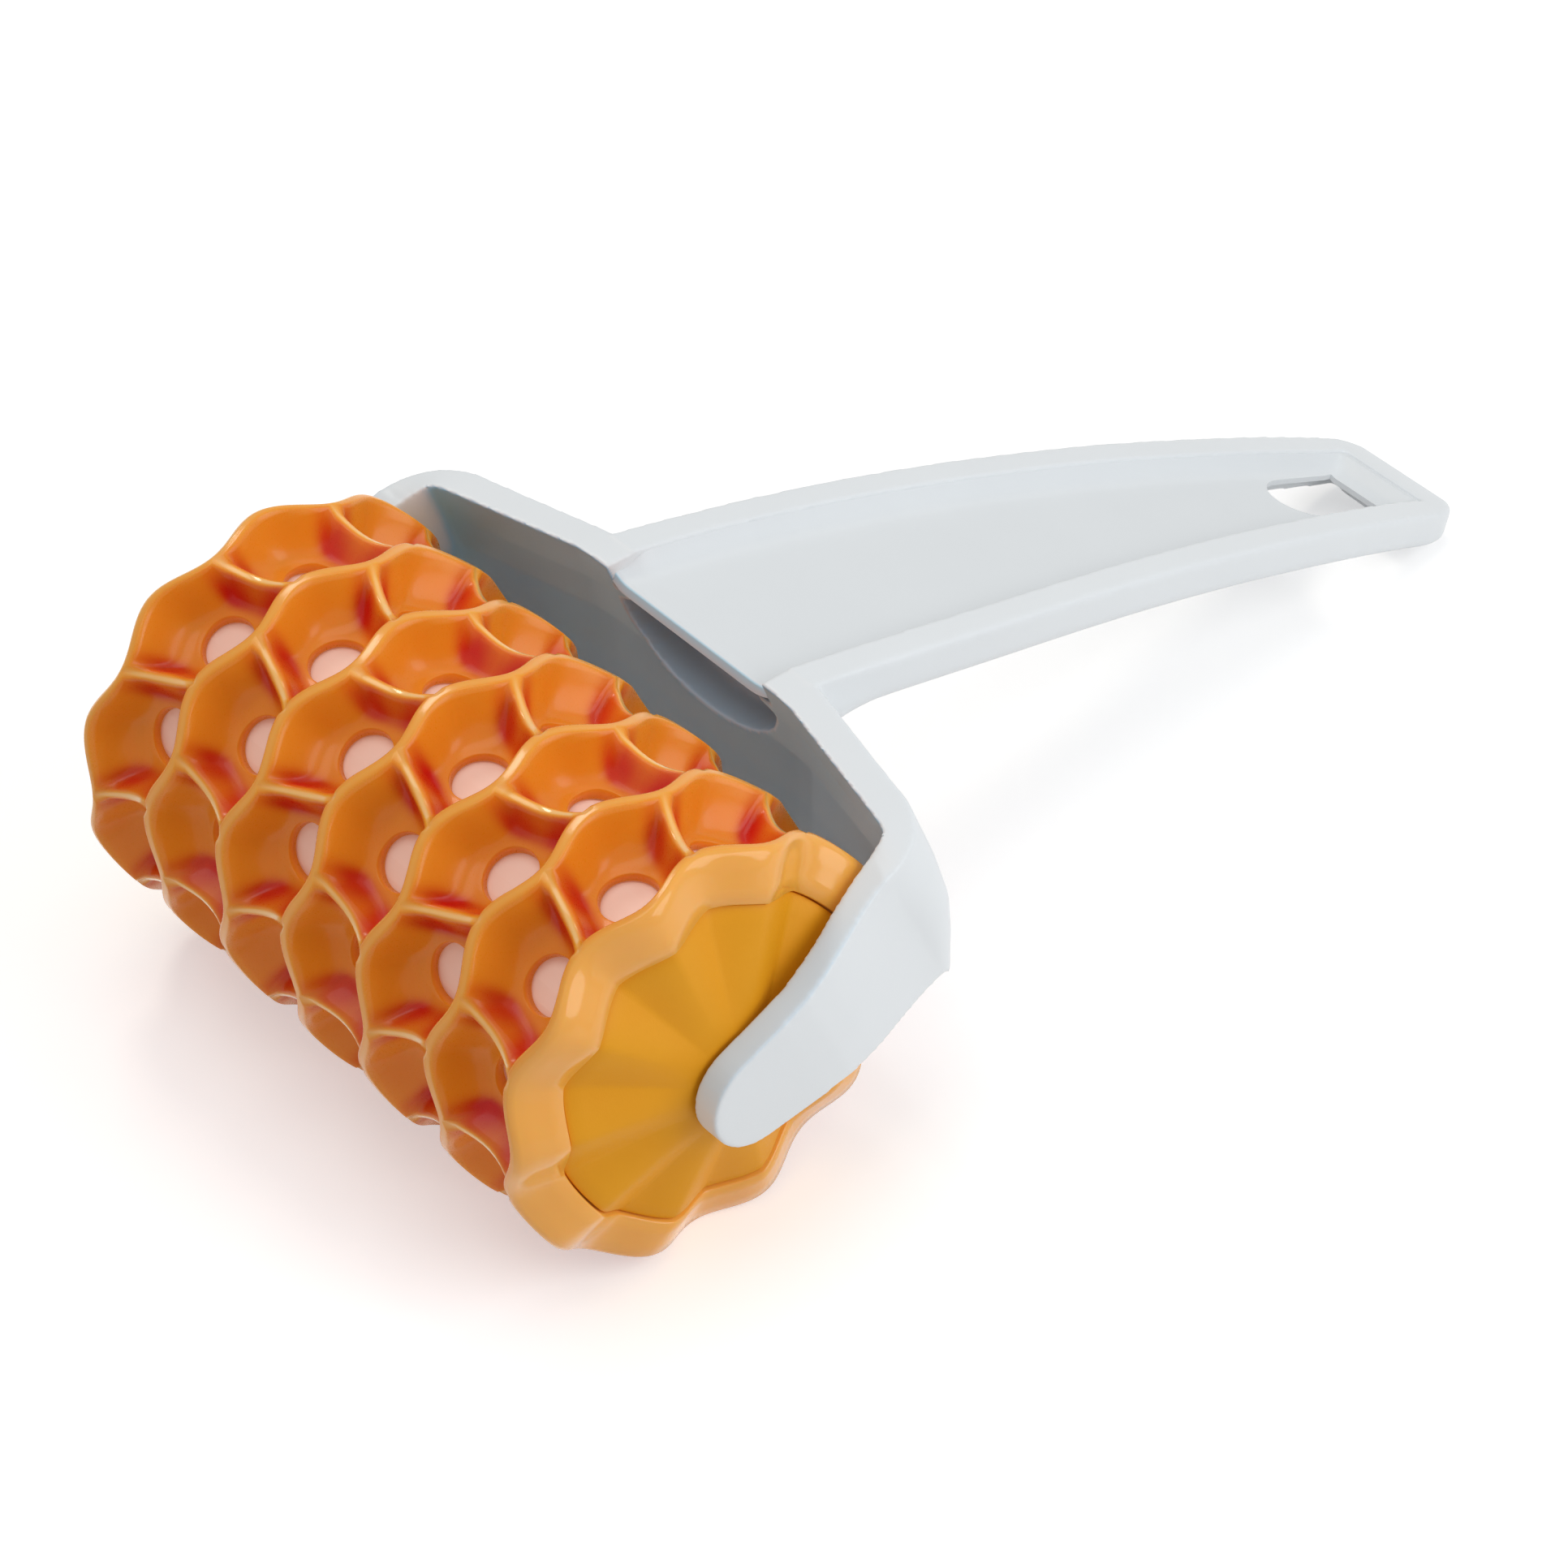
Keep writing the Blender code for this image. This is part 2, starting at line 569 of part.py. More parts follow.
def hull_loop(i):
    """Outline of the handle at a station: flat top, upright skirts and a curved underside."""
    half_width = ROOT_HALF_WIDTH * WIDTH_SHARES[i]
    rim = station_rim(i)
    depth = station_depth(i)
    skirt = min(SKIRT_DEPTH, depth)
    side = []
    for a in UNDERSIDE_ANGLES:
        y = half_width * math.cos(math.radians(a))
        z = rim - skirt - (depth - skirt) * math.sin(math.radians(a))
        side.append((y, z))
    outline = [(half_width, rim)] + side
    outline += [(-y, z) for (y, z) in reversed(side[:-1])] + [(-half_width, rim)]
    return outline


hull_loops = []
for i in range(len(STATION_SHARES)):
    hull_loops.append([(root_x(z) if i == 0 else station_x(i), y, z) for (y, z) in hull_loop(i)])
hull = in_frame(loft("handle_hull_guide", hull_loops))
cut(handle_shell, hull, "UNION")

# Tray: sloping sides down to the panel, then a straight pocket down to the ledge
front_x = CORNER_X - CUT_OVERRUN
end_inner_x = HANDLE_ROOT_X + HANDLE_LENGTH - END_WALL_THICKNESS
ledge_below_rim = TRAY_DEPTH + PANEL_THICKNESS + SEAT_GAP


def tray_stations():
    """Stations of the tray as (x, half width at the rim, rim height), from the wall to the end."""
    rows = [(front_x, ROOT_HALF_WIDTH - RIM_WIDTH, station_rim(0))]
    for i in range(len(STATION_SHARES)):
        if station_x(i) < end_inner_x - RIM_WIDTH:
            rows.append((station_x(i), ROOT_HALF_WIDTH * WIDTH_SHARES[i] - RIM_WIDTH, station_rim(i)))
    last = len(rows) - 1
    rows.append((end_inner_x, ROOT_HALF_WIDTH * WIDTH_SHARES[last] - RIM_WIDTH, station_rim(last)))
    return rows


tray_rows = tray_stations()
tray_loops = []
for n, (x, w, rim) in enumerate(tray_rows):
    end_run = TRAY_END_RUN if n == len(tray_rows) - 1 else 0.0
    over = CUT_OVERRUN / TRAY_DEPTH
    floor_w = w - TRAY_SIDE_RUN
    tray_loops.append([(x + end_run * over, w + TRAY_SIDE_RUN * over, rim + CUT_OVERRUN),
                       (x + end_run * over, -w - TRAY_SIDE_RUN * over, rim + CUT_OVERRUN),
                       (x - end_run, -floor_w, rim - TRAY_DEPTH),
                       (x - end_run, -floor_w, rim - ledge_below_rim),
                       (x - end_run, floor_w, rim - ledge_below_rim),
                       (x - end_run, floor_w, rim - TRAY_DEPTH)])
tray = in_frame(loft("tray_guide", tray_loops))
cut(handle_shell, tray)

# Hollow under the tray panel, with its curved lip at the back wall
hollow_rows = list(tray_rows[:HOLLOW_STATION + 2])
lip_x = root_x(RIM_ROOT_Z - HULL_ROOT_DEPTH - ROOT_EXTRA_DEPTH)
hollow_rows[1] = (lip_x, *tray_rows[1][1:])
hollow_loops = []
for n, (x, w, rim) in enumerate(hollow_rows):
    half_width = w - TRAY_SIDE_RUN - LEDGE_WIDTH
    top = rim - TRAY_DEPTH - PANEL_THICKNESS
    shelf = rim - ledge_below_rim - LEDGE_THICKNESS
    share = STATION_SHARES[max(n - 1, 0)]
    low = shelf - (rim - HULL_ROOT_DEPTH - (HULL_END_DEPTH - HULL_ROOT_DEPTH) * share + HULL_WALL)
    if n < 2:
        low += ROOT_EXTRA_DEPTH
    flare, side_flare = (MOUTH_FLARE, MOUTH_SIDE_FLARE) if n == 0 else (0.0, 0.0)
    side = [(half_width, top), (half_width, shelf)]
    wide = w - LEDGE_WIDTH + side_flare
    side += [(wide * math.cos(math.radians(a)), shelf - (low + flare) * math.sin(math.radians(a)))
             for a in HOLLOW_ANGLES]
    outline = side + [(-y, z) for (y, z) in reversed(side[:-1])]
    hollow_loops.append([(x, y, z) for (y, z) in outline])
hollow = in_frame(loft("hollow_guide", hollow_loops))
cut(handle_shell, hollow)

# Hanging slot: round towards the drum, square at the end wall
slot_end_x = end_inner_x - TRAY_END_RUN - LEDGE_WIDTH
slot_round_x = slot_end_x - SLOT_LENGTH + SLOT_HALF_WIDTH
slot_bottom = RIM_ROOT_Z - HULL_ROOT_DEPTH - CUT_OVERRUN


def slot_cutter(name, wider, top):
    """A cutter for the slot, wider than the panel's slot by the same amount all round."""
    half_width, end_x = SLOT_HALF_WIDTH + wider, slot_end_x + wider
    outline = [(end_x, half_width)]
    outline += [(slot_round_x - half_width * math.sin(math.radians(a)),
                 half_width * math.cos(math.radians(a))) for a in range(0, 181, 20)]
    outline.append((end_x, -half_width))
    return in_frame(loft(name, [[(x, y, z) for (x, y) in outline] for z in (slot_bottom, top)]))


slot = slot_cutter("slot_guide", 0.0, RIM_ROOT_Z + ARCH_RISE + CUT_OVERRUN)
cut(handle_shell, slot)
relief_top = station_rim(SLOT_STATION) - ledge_below_rim
cut(handle_shell, slot_cutter("slot_relief_guide", SLOT_RELIEF, relief_top))

# Blind sockets for the axle
socket_end = ARM_INNER_Y + SOCKET_DEPTH
for word, end in (("far", 1), ("near", -1)):
    low, high = sorted((end * (ARM_INNER_Y - CUT_OVERRUN), end * socket_end))
    socket = in_frame(rod("socket_guide_" + word, AXLE_RADIUS + SEAT_GAP, low, high, ARC_SIDES))
    cut(handle_shell, socket)

axle_half = socket_end - SEAT_GAP
in_frame(rod("axle_rod", AXLE_RADIUS, -axle_half, axle_half, ARC_SIDES, STEEL))

# The tray panel
panel_loops = []
panel_front_x = wall_section(0.0)[3].x - PANEL_FRONT_SET_BACK
for n, (x, w, rim) in enumerate(tray_rows[1:]):
    if n == 0:
        x = panel_front_x
    if n == len(tray_rows) - 2:
        x -= TRAY_END_RUN + SEAT_GAP
    half_width = w - TRAY_SIDE_RUN - SEAT_GAP
    top, low = rim - TRAY_DEPTH, rim - TRAY_DEPTH - PANEL_THICKNESS
    panel_loops.append([(x, half_width, top), (x, -half_width, top), (x, -half_width, low),
                        (x, half_width, low)])
panel = in_frame(loft("tray_panel", panel_loops, PANEL))
cut(panel, slot)
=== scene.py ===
# %% [markdown]
# # A breadstick roller
# A glossy orange drum with waved cutting rings turns in a white yoke with a tray-shaped handle.
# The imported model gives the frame, with every piece at its real size and place. The cells below
# build the fine surfaces and mix their finishes, then set the table, the light and the camera.

# %% Load the frame
import json
from math import atan, atan2, cos, degrees, exp, hypot, pi, radians, sin, sqrt, tan

import bmesh
import bpy
import numpy as np
from mathutils import Matrix, Vector


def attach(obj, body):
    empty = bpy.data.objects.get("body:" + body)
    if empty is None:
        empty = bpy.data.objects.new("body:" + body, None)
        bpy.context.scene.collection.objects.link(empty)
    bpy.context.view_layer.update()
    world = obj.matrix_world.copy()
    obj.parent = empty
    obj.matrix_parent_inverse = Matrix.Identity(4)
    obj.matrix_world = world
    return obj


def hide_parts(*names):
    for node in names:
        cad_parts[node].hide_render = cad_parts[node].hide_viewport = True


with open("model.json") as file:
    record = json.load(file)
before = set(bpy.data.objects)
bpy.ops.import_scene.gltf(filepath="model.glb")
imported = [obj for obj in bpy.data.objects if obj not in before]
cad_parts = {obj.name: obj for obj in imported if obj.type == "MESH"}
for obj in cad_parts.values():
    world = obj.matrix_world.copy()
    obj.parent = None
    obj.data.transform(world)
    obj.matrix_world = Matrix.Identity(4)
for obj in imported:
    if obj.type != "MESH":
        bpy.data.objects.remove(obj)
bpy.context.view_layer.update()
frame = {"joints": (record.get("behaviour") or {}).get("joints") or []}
axle = Vector(frame["joints"][0]["pos_m"])
mm = 0.001
print("axle at", [round(v / mm, 2) for v in axle], "mm")

# %% [markdown]
# ## Small mesh helpers
# Every surface here is a grid of points joined into quads, because its shape follows a formula.
# `make_piece` turns such lists into an object, lets Blender find out which way is out, and
# shades it smooth.

# %% Mesh helpers


def add_object(name, data):
    """An object in the scene for a mesh, a lamp or a camera."""
    holder = bpy.data.objects.new(name, data)
    bpy.context.scene.collection.objects.link(holder)
    return holder


def make_piece(name, points, faces):
    """A mesh object from points and faces, turned outwards and shaded smooth."""
    mesh = bpy.data.meshes.new(name)
    mesh.from_pydata([tuple(p) for p in points], [], faces)
    work = bmesh.new()
    work.from_mesh(mesh)
    bmesh.ops.recalc_face_normals(work, faces=work.faces)
    work.to_mesh(mesh)
    work.free()
    mesh.shade_smooth()
    return add_object(name, mesh)


def skin(rows, closed_rows=False):
    """Points and faces of a tube skinned over closed loops, with its ends capped."""
    count = len(rows[0])
    points = [p for row in rows for p in row]
    faces = []
    pairs = range(len(rows)) if closed_rows else range(len(rows) - 1)
    for r in pairs:
        a, b = r * count, (r + 1) % len(rows) * count
        faces += [(a + i, a + (i + 1) % count, b + (i + 1) % count, b + i) for i in range(count)]
    if not closed_rows:
        faces += [tuple(range(count)), tuple(range((len(rows) - 1) * count, len(rows) * count))]
    return points, faces


print("make_piece and skin are ready")

# %% [markdown]
# Relaxing a mesh rounds its edges as polishing does: each point moves half-way to the middle of
# its neighbours, again and again. The other helpers read a mesh, and paint values on its points
# for a finish to use.

# %% Relax a mesh, read it and paint on it


def read_vectors(mesh, kind):
    """The places ("co") or the normals ("normal") of a mesh's points."""
    vectors = np.empty(len(mesh.vertices) * 3)
    mesh.vertices.foreach_get(kind, vectors)
    return vectors.reshape(-1, 3)


def read_edges(mesh):
    """The two ends of every edge, with each edge read both ways."""
    ends = np.empty(len(mesh.edges) * 2, dtype=np.int32)
    mesh.edges.foreach_get("vertices", ends)
    ends = ends.reshape(-1, 2)
    return np.concatenate((ends, ends[:, ::-1])).T


def relax(places, edges, rounds, share=1.0):
    """The points after some rounds of smoothing, each by its own share."""
    here, there = edges
    neighbours = np.maximum(np.bincount(here, minlength=len(places)), 1)
    for _ in range(rounds):
        middle = np.stack([np.bincount(here, places[there, k], len(places)) / neighbours
                           for k in range(3)], axis=1)
        places = places + (middle - places) * 0.5 * share
    return places


def paint(piece, name, values):
    """Keeps a number for each point of a piece, under a name."""
    piece.data.attributes.new(name, "FLOAT", "POINT").data.foreach_set("value", values)


print("relax and paint are ready")

# %% [markdown]
# ## Where things lie round the drum
# The drum is described by an angle round its axle and a place along it. Seven rings stand a pitch
# apart, and each swings from side to side ten times on its way round. Neighbours swing opposite
# ways: where they come close a rib joins them, and between the ribs there is room for a cell.

# %% The rings' waves
PITCH = 15 * mm
RINGS = 7
LOBES = 10
CREST = 30.65 * mm
SWING = 1.4 * mm
ROUND_PART, ZIGZAG_PART = 0.45, 0.55
WAVE_START = radians(14.92)
RIB_SLANT = radians(9.66)
BORE = 22.3 * mm
MID_RADIUS = 27 * mm
HALF_LENGTH = (RINGS - 1) / 2 * PITCH


def way_of(ring):
    """Neighbouring rings swing opposite ways."""
    return 1 if ring % 2 == 0 else -1


def ring_place(ring, phase):
    """A ring's place along the axle at a phase of its wave."""
    return HALF_LENGTH - ring * PITCH + SWING * cos(phase) * way_of(ring)


def cornered(phase):
    """A wave between a cosine and a zigzag, with a corner at each top and foot."""
    zigzag = 1 - 2 * abs((phase / pi + 1) % 2 - 1)
    return ROUND_PART * cos(phase) + ZIGZAG_PART * zigzag


def ring_turn(ring):
    """Every other ring lags a little, which slants the ribs."""
    return 0.0 if ring % 2 == 0 else -RIB_SLANT


def cell_centre(channel, lobe=0):
    """The phase where the two rings of a channel stand farthest apart."""
    return (0.0 if channel % 2 == 0 else pi) + lobe * 2 * pi


def round_axle(radius, along, angle):
    """A point given by its radius, its place along the axle and its angle."""
    return axle + Vector((radius * cos(angle), along, radius * sin(angle)))


print("drum", round(2 * CREST / mm, 1), "mm across")

# %% [markdown]
# ## The height of the lattice
# Each cell is a funnel between four thin walls: two rings and two ribs. So the surface is worked
# out the same way. Each wall has a rounded top, a steep side and a foot that flares out towards
# the floor, and its height falls with the distance from its middle line. The surface is the
# highest of the four, blended softly where two meet. A tone beside it paints light and shade
# into the drum's colour: highlights along the rib and ring tops, shade in the creases by the ribs.

# %% Height of one wall
FLOOR_RADIUS = 22.55 * mm
FULL_DROP = CREST - FLOOR_RADIUS
EDGE_FULLNESS = 0.97
RING_WALL = {"band": 0.55 * mm, "edge": 0.42 * mm, "side": 2.4 * mm, "run": 0.75 * mm, "flare": 1.9 * mm}
RIB_WALL = {"band": 0.15 * mm, "edge": 0.75 * mm, "side": 2.6 * mm, "run": 0.45 * mm, "flare": 2.2 * mm}
RIB_END_DROP = 0.35 * mm
RIB_SAG = 1.9 * mm
BLEND = 0.7 * mm
DEEP_BLEND = 0.9 * mm
# How strong the painted highlights on the rib and ring tops are, and the painted shade in the creases
# beside the ribs and in their corners.
RIB_HIGHLIGHT, RING_HIGHLIGHT = 0.85, 0.3
CREASE_SHADE, CORNER_SHADE = 0.5, 0.7


def wall_drop(distance, depth, band, edge, side, run, flare):
    """How far a wall's surface lies below its top, from its band to its flare."""
    if distance < band:
        return 0.0
    across = (distance - band) / edge
    if across < 1:
        return edge * (1 - sqrt(1 - EDGE_FULLNESS * across ** 2))
    shoulder = edge * (1 - sqrt(1 - EDGE_FULLNESS))
    past = distance - band - edge
    steep = side * (1 - exp(-past / run))
    return shoulder + steep + max(depth - shoulder - side, 0.0) * (1 - exp(-past / flare))


def soft_over(a, b, width):
    """The higher of two heights, with a fillet between them."""
    overlap = max(width - abs(a - b), 0.0) / width
    return max(a, b) + overlap * overlap * width / 4


def wall_distances(channel, share, phase):
    """Distances from a place to its two rings and its rib, and how far the rib sags there."""
    near, far = ring_place(channel, phase), ring_place(channel + 1, phase)
    slope = SWING * sin(phase) * LOBES / MID_RADIUS
    across = (near - far) / sqrt(1 + slope * slope)
    off = abs((phase - cell_centre(channel) + pi) % (2 * pi) - pi)
    rib_square = cos(atan(RIB_SLANT * MID_RADIUS / (PITCH - 2 * SWING)))
    rib_distance = (pi - off) / LOBES * MID_RADIUS * rib_square
    rib_top = RIB_END_DROP + RIB_SAG * sin(pi * min(max(share, 0.0), 1.0))
    return max(share * across, 0.0), max((1 - share) * across, 0.0), max(rib_distance, 0.0), rib_top


def cell_height(channel, share, phase):
    """Radius of the lattice at a share of a channel's width, and at a phase round it."""
    near, far, rib, rib_top = wall_distances(channel, share, phase)
    height = 0.0
    walls = ((near, RING_WALL, 0.0), (far, RING_WALL, 0.0), (rib, RIB_WALL, rib_top))
    for distance, kind, top in walls:
        depth = FULL_DROP - top
        wall = depth - wall_drop(distance, depth, **kind)
        fillet = BLEND + DEEP_BLEND * max(0.0, 1 - max(height, wall) / FULL_DROP)
        height = soft_over(height, wall, fillet)
    return min(FLOOR_RADIUS + height, CREST)


def bell(distance, middle, width):
    """1 at the middle, and falling softly to 0."""
    return exp(-((distance - middle) / width) ** 2)


def cell_painted_light(channel, share, phase):
    """Below 0 for painted highlights on the ridges, 0 on plain walls and up to 1 for painted shade in
    the creases beside the ribs.
    """
    near, far, rib, _ = wall_distances(channel, share, phase)
    ring = min(near, far)
    # Painted highlight along the rib tops and the ring crests, painted shade in the creases beside the
    # ribs.
    ridge = RIB_HIGHLIGHT * bell(rib, 0.0, 0.42 * mm) * (1 - bell(ring, 0.0, 1.2 * mm))
    corner = CREASE_SHADE + CORNER_SHADE * bell(ring, 2.9 * mm, 1.8 * mm)
    crease = bell(rib, 1.7 * mm, 1 * mm) * corner * (1 - bell(ring, 0.0, 1.5 * mm))
    return crease - ridge - RING_HIGHLIGHT * bell(ring, 0.0, 0.7 * mm)


print("deepest cell", round(FULL_DROP / mm, 2), "mm")

# %% [markdown]
# ## The lattice drum
# A plain grid would leave the openings ragged. So each cell gets spokes from its four walls in to
# its round opening, and the mesh follows both outlines. Neighbouring cells share the points on
# the rings and ribs, so the drum is one closed surface.

# %% Cut the lattice into cells
RING_STEPS = 24
RIB_STEPS = 10
SPOKE_ROWS = 17
ROW_POWER = 1.7
OPEN_ALONG = 4 * mm
OPEN_ROUND = 4.7 * mm
LIP_ROUND = 0.12 * mm
END_LEAN = 2.8 * mm
SEAT_RADIUS = 23.7 * mm
SEAT_DEPTH = 3.2 * mm
SEAT_FOOT = HALF_LENGTH + END_LEAN - SWING - SEAT_DEPTH
LOBE_STEP = 2 * pi / RING_STEPS
RING_POINTS = RING_STEPS * LOBES

lattice_points, lattice_tones, lattice_faces, point_number = [], [], [], {}


def lattice_point(key, spot=None, tone=0.0):
    """The number of a shared point, which is made when it is first asked for."""
    if key not in point_number:
        point_number[key] = len(lattice_points)
        lattice_points.append(round_axle(*spot))
        lattice_tones.append(tone)
    return point_number[key]


def lag_at(channel, share):
    return ring_turn(channel) + (ring_turn(channel + 1) - ring_turn(channel)) * share


def turn_at(channel, share, phase):
    return WAVE_START + phase / LOBES + lag_at(channel, share)


def locate(channel, along, angle):
    """The share across a channel, and the phase, of a place on the drum."""
    share = 0.5
    for _ in range(4):
        phase = (angle - WAVE_START - lag_at(channel, share)) * LOBES
        near, far = ring_place(channel, phase), ring_place(channel + 1, phase)
        share = (near - along) / (near - far)
    return share, phase


def cell_border(channel, lobe):
    """The cell's outline as (shared key, share, phase), once round."""
    centre = cell_centre(channel, lobe)
    half_steps = RING_STEPS // 2
    shift = half_steps * (channel % 2) + lobe * RING_STEPS

    def on_ring(share, i):
        return ("ring", channel + share, (i + shift) % RING_POINTS), share, centre + i * LOBE_STEP

    def on_rib(rib, i, phase):
        return ("rib", channel, rib, i), i / RIB_STEPS, phase

    outline = [on_ring(0, i) for i in range(-half_steps, half_steps + 1)]
    outline += [on_rib(lobe, i, centre + pi) for i in range(1, RIB_STEPS)]
    outline += [on_ring(1, i) for i in range(half_steps, -half_steps - 1, -1)]
    outline += [on_rib((lobe - 1) % LOBES, i, centre - pi) for i in range(RIB_STEPS - 1, 0, -1)]
    return outline


def join_columns(columns):
    """Quads between each column of points and the next one round."""
    for column, after in zip(columns, columns[1:] + columns[:1]):
        for quad in zip(column, after, after[1:], column[1:]):
            if len(set(quad)) == 4:
                lattice_faces.append(quad)


def add_cell(channel, lobe):
    """Spokes from a cell's outline in to its opening, and on through the wall to the bore."""
    centre = cell_centre(channel, lobe)
    mid_angle = turn_at(channel, 0.5, centre)
    mid_along = (ring_place(channel, centre) + ring_place(channel + 1, centre)) / 2
    spokes = []
    for key, share, phase in cell_border(channel, lobe):
        near, far = ring_place(channel, phase), ring_place(channel + 1, phase)
        along = near + (far - near) * share
        arc = (turn_at(channel, share, phase) - mid_angle) * MID_RADIUS
        way = atan2((along - mid_along) / OPEN_ALONG, arc / OPEN_ROUND)
        goal_arc = OPEN_ROUND * cos(way)
        goal_along = OPEN_ALONG * sin(way)
        spoke = []
        for row in range(SPOKE_ROWS + 1):
            t = (row / SPOKE_ROWS) ** ROW_POWER
            angle = mid_angle + (arc + (goal_arc - arc) * t) / MID_RADIUS
            place = mid_along + (along - mid_along + (goal_along - along + mid_along) * t)
            spot = (share, phase) if row == 0 else locate(channel, place, angle)
            on_crest = key[0] == "ring" and row == 0
            radius = CREST if on_crest else cell_height(channel, *spot)
            own_key = key if row == 0 else ("cell", channel, lobe, key, share, row)
            spoke.append(lattice_point(own_key, (radius, place, angle), cell_painted_light(channel, *spot)))
        lip_rows = ((0.5, radius - LIP_ROUND * 0.25), (1.0, radius - LIP_ROUND), (1.0, BORE))
        for step, (inward, radius) in enumerate(lip_rows):
            reach = 1 - inward * LIP_ROUND / hypot(goal_arc, goal_along)
            angle = mid_angle + goal_arc * reach / MID_RADIUS
            place = mid_along + goal_along * reach
            spoke.append(lattice_point(("lip", channel, lobe, key, share, step), (radius, place, angle)))
        spoke.append(lattice_point(("bore", *key), (BORE, along, turn_at(channel, share, phase))))
        spokes.append(spoke)
    join_columns(spokes)


for channel in range(RINGS - 1):
    for lobe in range(LOBES):
        add_cell(channel, lobe)
print("cells done,", len(lattice_faces), "faces")

# %% [markdown]
# At each end a broad band leans outwards from the last ring's rounded edge to the waved line
# where the cap sits. Its wave is made of flat lobes, and inside it a seat leads to the bore.

# %% Close the lattice's ends
BAND_ROWS = ((0.1 * mm, 0.25 * mm), (0.35 * mm, 0.6 * mm), (0.75 * mm, 0.95 * mm))
RIM_RADIUS = SEAT_RADIUS + 0.25 * mm
BAND_TONE = -0.38


def add_band(end):
    """The band from the last ring to the cap's seat, on one end of the drum."""
    ring = 0 if end > 0 else RINGS - 1
    columns = []
    for i in range(RING_POINTS):
        phase = i * LOBE_STEP
        angle = WAVE_START + ring_turn(ring) + phase / LOBES
        edge = ring_place(ring, phase)
        rim = HALF_LENGTH - ring * PITCH + SWING * way_of(ring) * cornered(phase) + end * END_LEAN
        column = [lattice_point(("ring", ring, i))]
        spots = [(CREST - drop, edge + end * run) for drop, run in BAND_ROWS]
        radius, along = spots[-1]
        spots += [(radius + (RIM_RADIUS - radius) * t, along + (rim - along) * t) for t in (0.33, 0.66)]
        spots += [(RIM_RADIUS, rim), (SEAT_RADIUS, rim - end * (RIM_RADIUS - SEAT_RADIUS)),
                  (SEAT_RADIUS, end * SEAT_FOOT), (BORE, end * SEAT_FOOT)]
        column += [lattice_point(("band", end, i, n), (*spot, angle), BAND_TONE)
                   for n, spot in enumerate(spots)]
        column.append(lattice_point(("bore", "ring", ring, i)))
        columns.append(column)
    join_columns(columns)


add_band(1)
add_band(-1)
lattice = make_piece("lattice_drum", lattice_points, lattice_faces)
paint(lattice, "tone", lattice_tones)
print("lattice", len(lattice_points), "points, tone up to", round(max(lattice_tones), 2))

# %% [markdown]
# ## The end caps
# Each cap is a shallow fan. Folds run from a flat hub out to the corners of its waved rim. A fold
# is a small bend and not a groove, so the fan's height swings gently from ridge to valley.

# %% Fan-folded caps
CAP_GAP = 0.3 * mm
CAP_RADIUS = SEAT_RADIUS - CAP_GAP
HUB_RADIUS = 7.8 * mm
HUB_FACE = 52 * mm
HUB_BORE = 3.3 * mm
CAP_FOLD = 0.75 * mm
CAP_COLUMNS = 240
CAP_EDGE = 0.3 * mm
HUB_DEPTH = 5 * mm
FAN_STEPS = (0.0, 0.12, 0.25, 0.4, 0.55, 0.7, 0.85, 0.96)
FAN_BULGE = 0.9
PLEAT_SHARPNESS = 1.15
SHARP_EDGE = radians(40)


def pleat(phase):
    """A wave made of nearly straight pieces, sharp at its tops and soft at its feet."""
    return 1 - 2 * abs(sin(phase / 2)) ** PLEAT_SHARPNESS


def make_cap(name, end):
    """A cap, skinned round its own section. Both end rings are even ones, so it never lags."""
    rim = HALF_LENGTH + END_LEAN - CAP_EDGE
    fan = CAP_RADIUS - HUB_RADIUS
    spots = [(HUB_BORE, HUB_FACE - HUB_DEPTH, 0.0), (HUB_BORE, HUB_FACE, 0.0)]
    spots += [(HUB_RADIUS + fan * t, HUB_FACE + (rim - HUB_FACE) * t ** FAN_BULGE, t) for t in FAN_STEPS]
    spots += [(CAP_RADIUS, rim - CAP_EDGE, 1.0), (CAP_RADIUS, SEAT_FOOT + CAP_GAP, 0.0),
              (HUB_BORE, SEAT_FOOT + CAP_GAP, 0.0)]
    phases = [i * 2 * pi * LOBES / CAP_COLUMNS for i in range(CAP_COLUMNS)]

    def fold(share, phase):
        return share * (SWING * share * cornered(phase) + CAP_FOLD * (1 - share) * 2 * pleat(phase))

    rows = [[round_axle(radius, end * along + fold(share, phase), WAVE_START + phase / LOBES)
             for phase in phases] for radius, along, share in spots]
    cap = make_piece(name, *skin(rows, closed_rows=True))
    cap.data.set_sharp_from_angle(angle=SHARP_EDGE)
    return cap


cap_near = make_cap("fan_cap_near", -1)
cap_far = make_cap("fan_cap_far", 1)
print("caps", len(cap_near.data.polygons), "faces each")

# %% [markdown]
# ## The white moulding
# The yoke and the handle are one piece of moulded plastic, and every edge on it is a little
# round. Bevelling such a shape edge by edge is slow and breaks where the parts meet. Instead the
# sharp shape is built from lofts and cuts, remeshed into small even squares and smoothed a few
# rounds. The outer side of the handle gets some more, because it has to lie well in a hand.

# %% The level frame of the handle, and the softening step
def rays(angles):
    """Cosines and sines of some angles in degrees."""
    return [(cos(radians(a)), sin(radians(a))) for a in angles]


TILT = radians(19.938)
level = Matrix.Translation(axle) @ Matrix.Rotation(TILT, 4, "Y")


def level_piece(name, rows):
    """A piece skinned over level rows, and put into the handle's tilted place."""
    piece = make_piece(name, *skin(rows))
    piece.matrix_world = level
    return piece


def add_cut(piece, guide, operation="DIFFERENCE"):
    """Cuts a guide out of a piece, or joins it on."""
    step = piece.modifiers.new(guide.name, "BOOLEAN")
    step.object = guide
    step.operation = operation
    step.solver = "EXACT"


def evaluated(piece):
    """A copy of the piece's mesh with its modifiers applied."""
    bpy.context.view_layer.update()
    graph = bpy.context.evaluated_depsgraph_get()
    return bpy.data.meshes.new_from_object(piece.evaluated_get(graph))


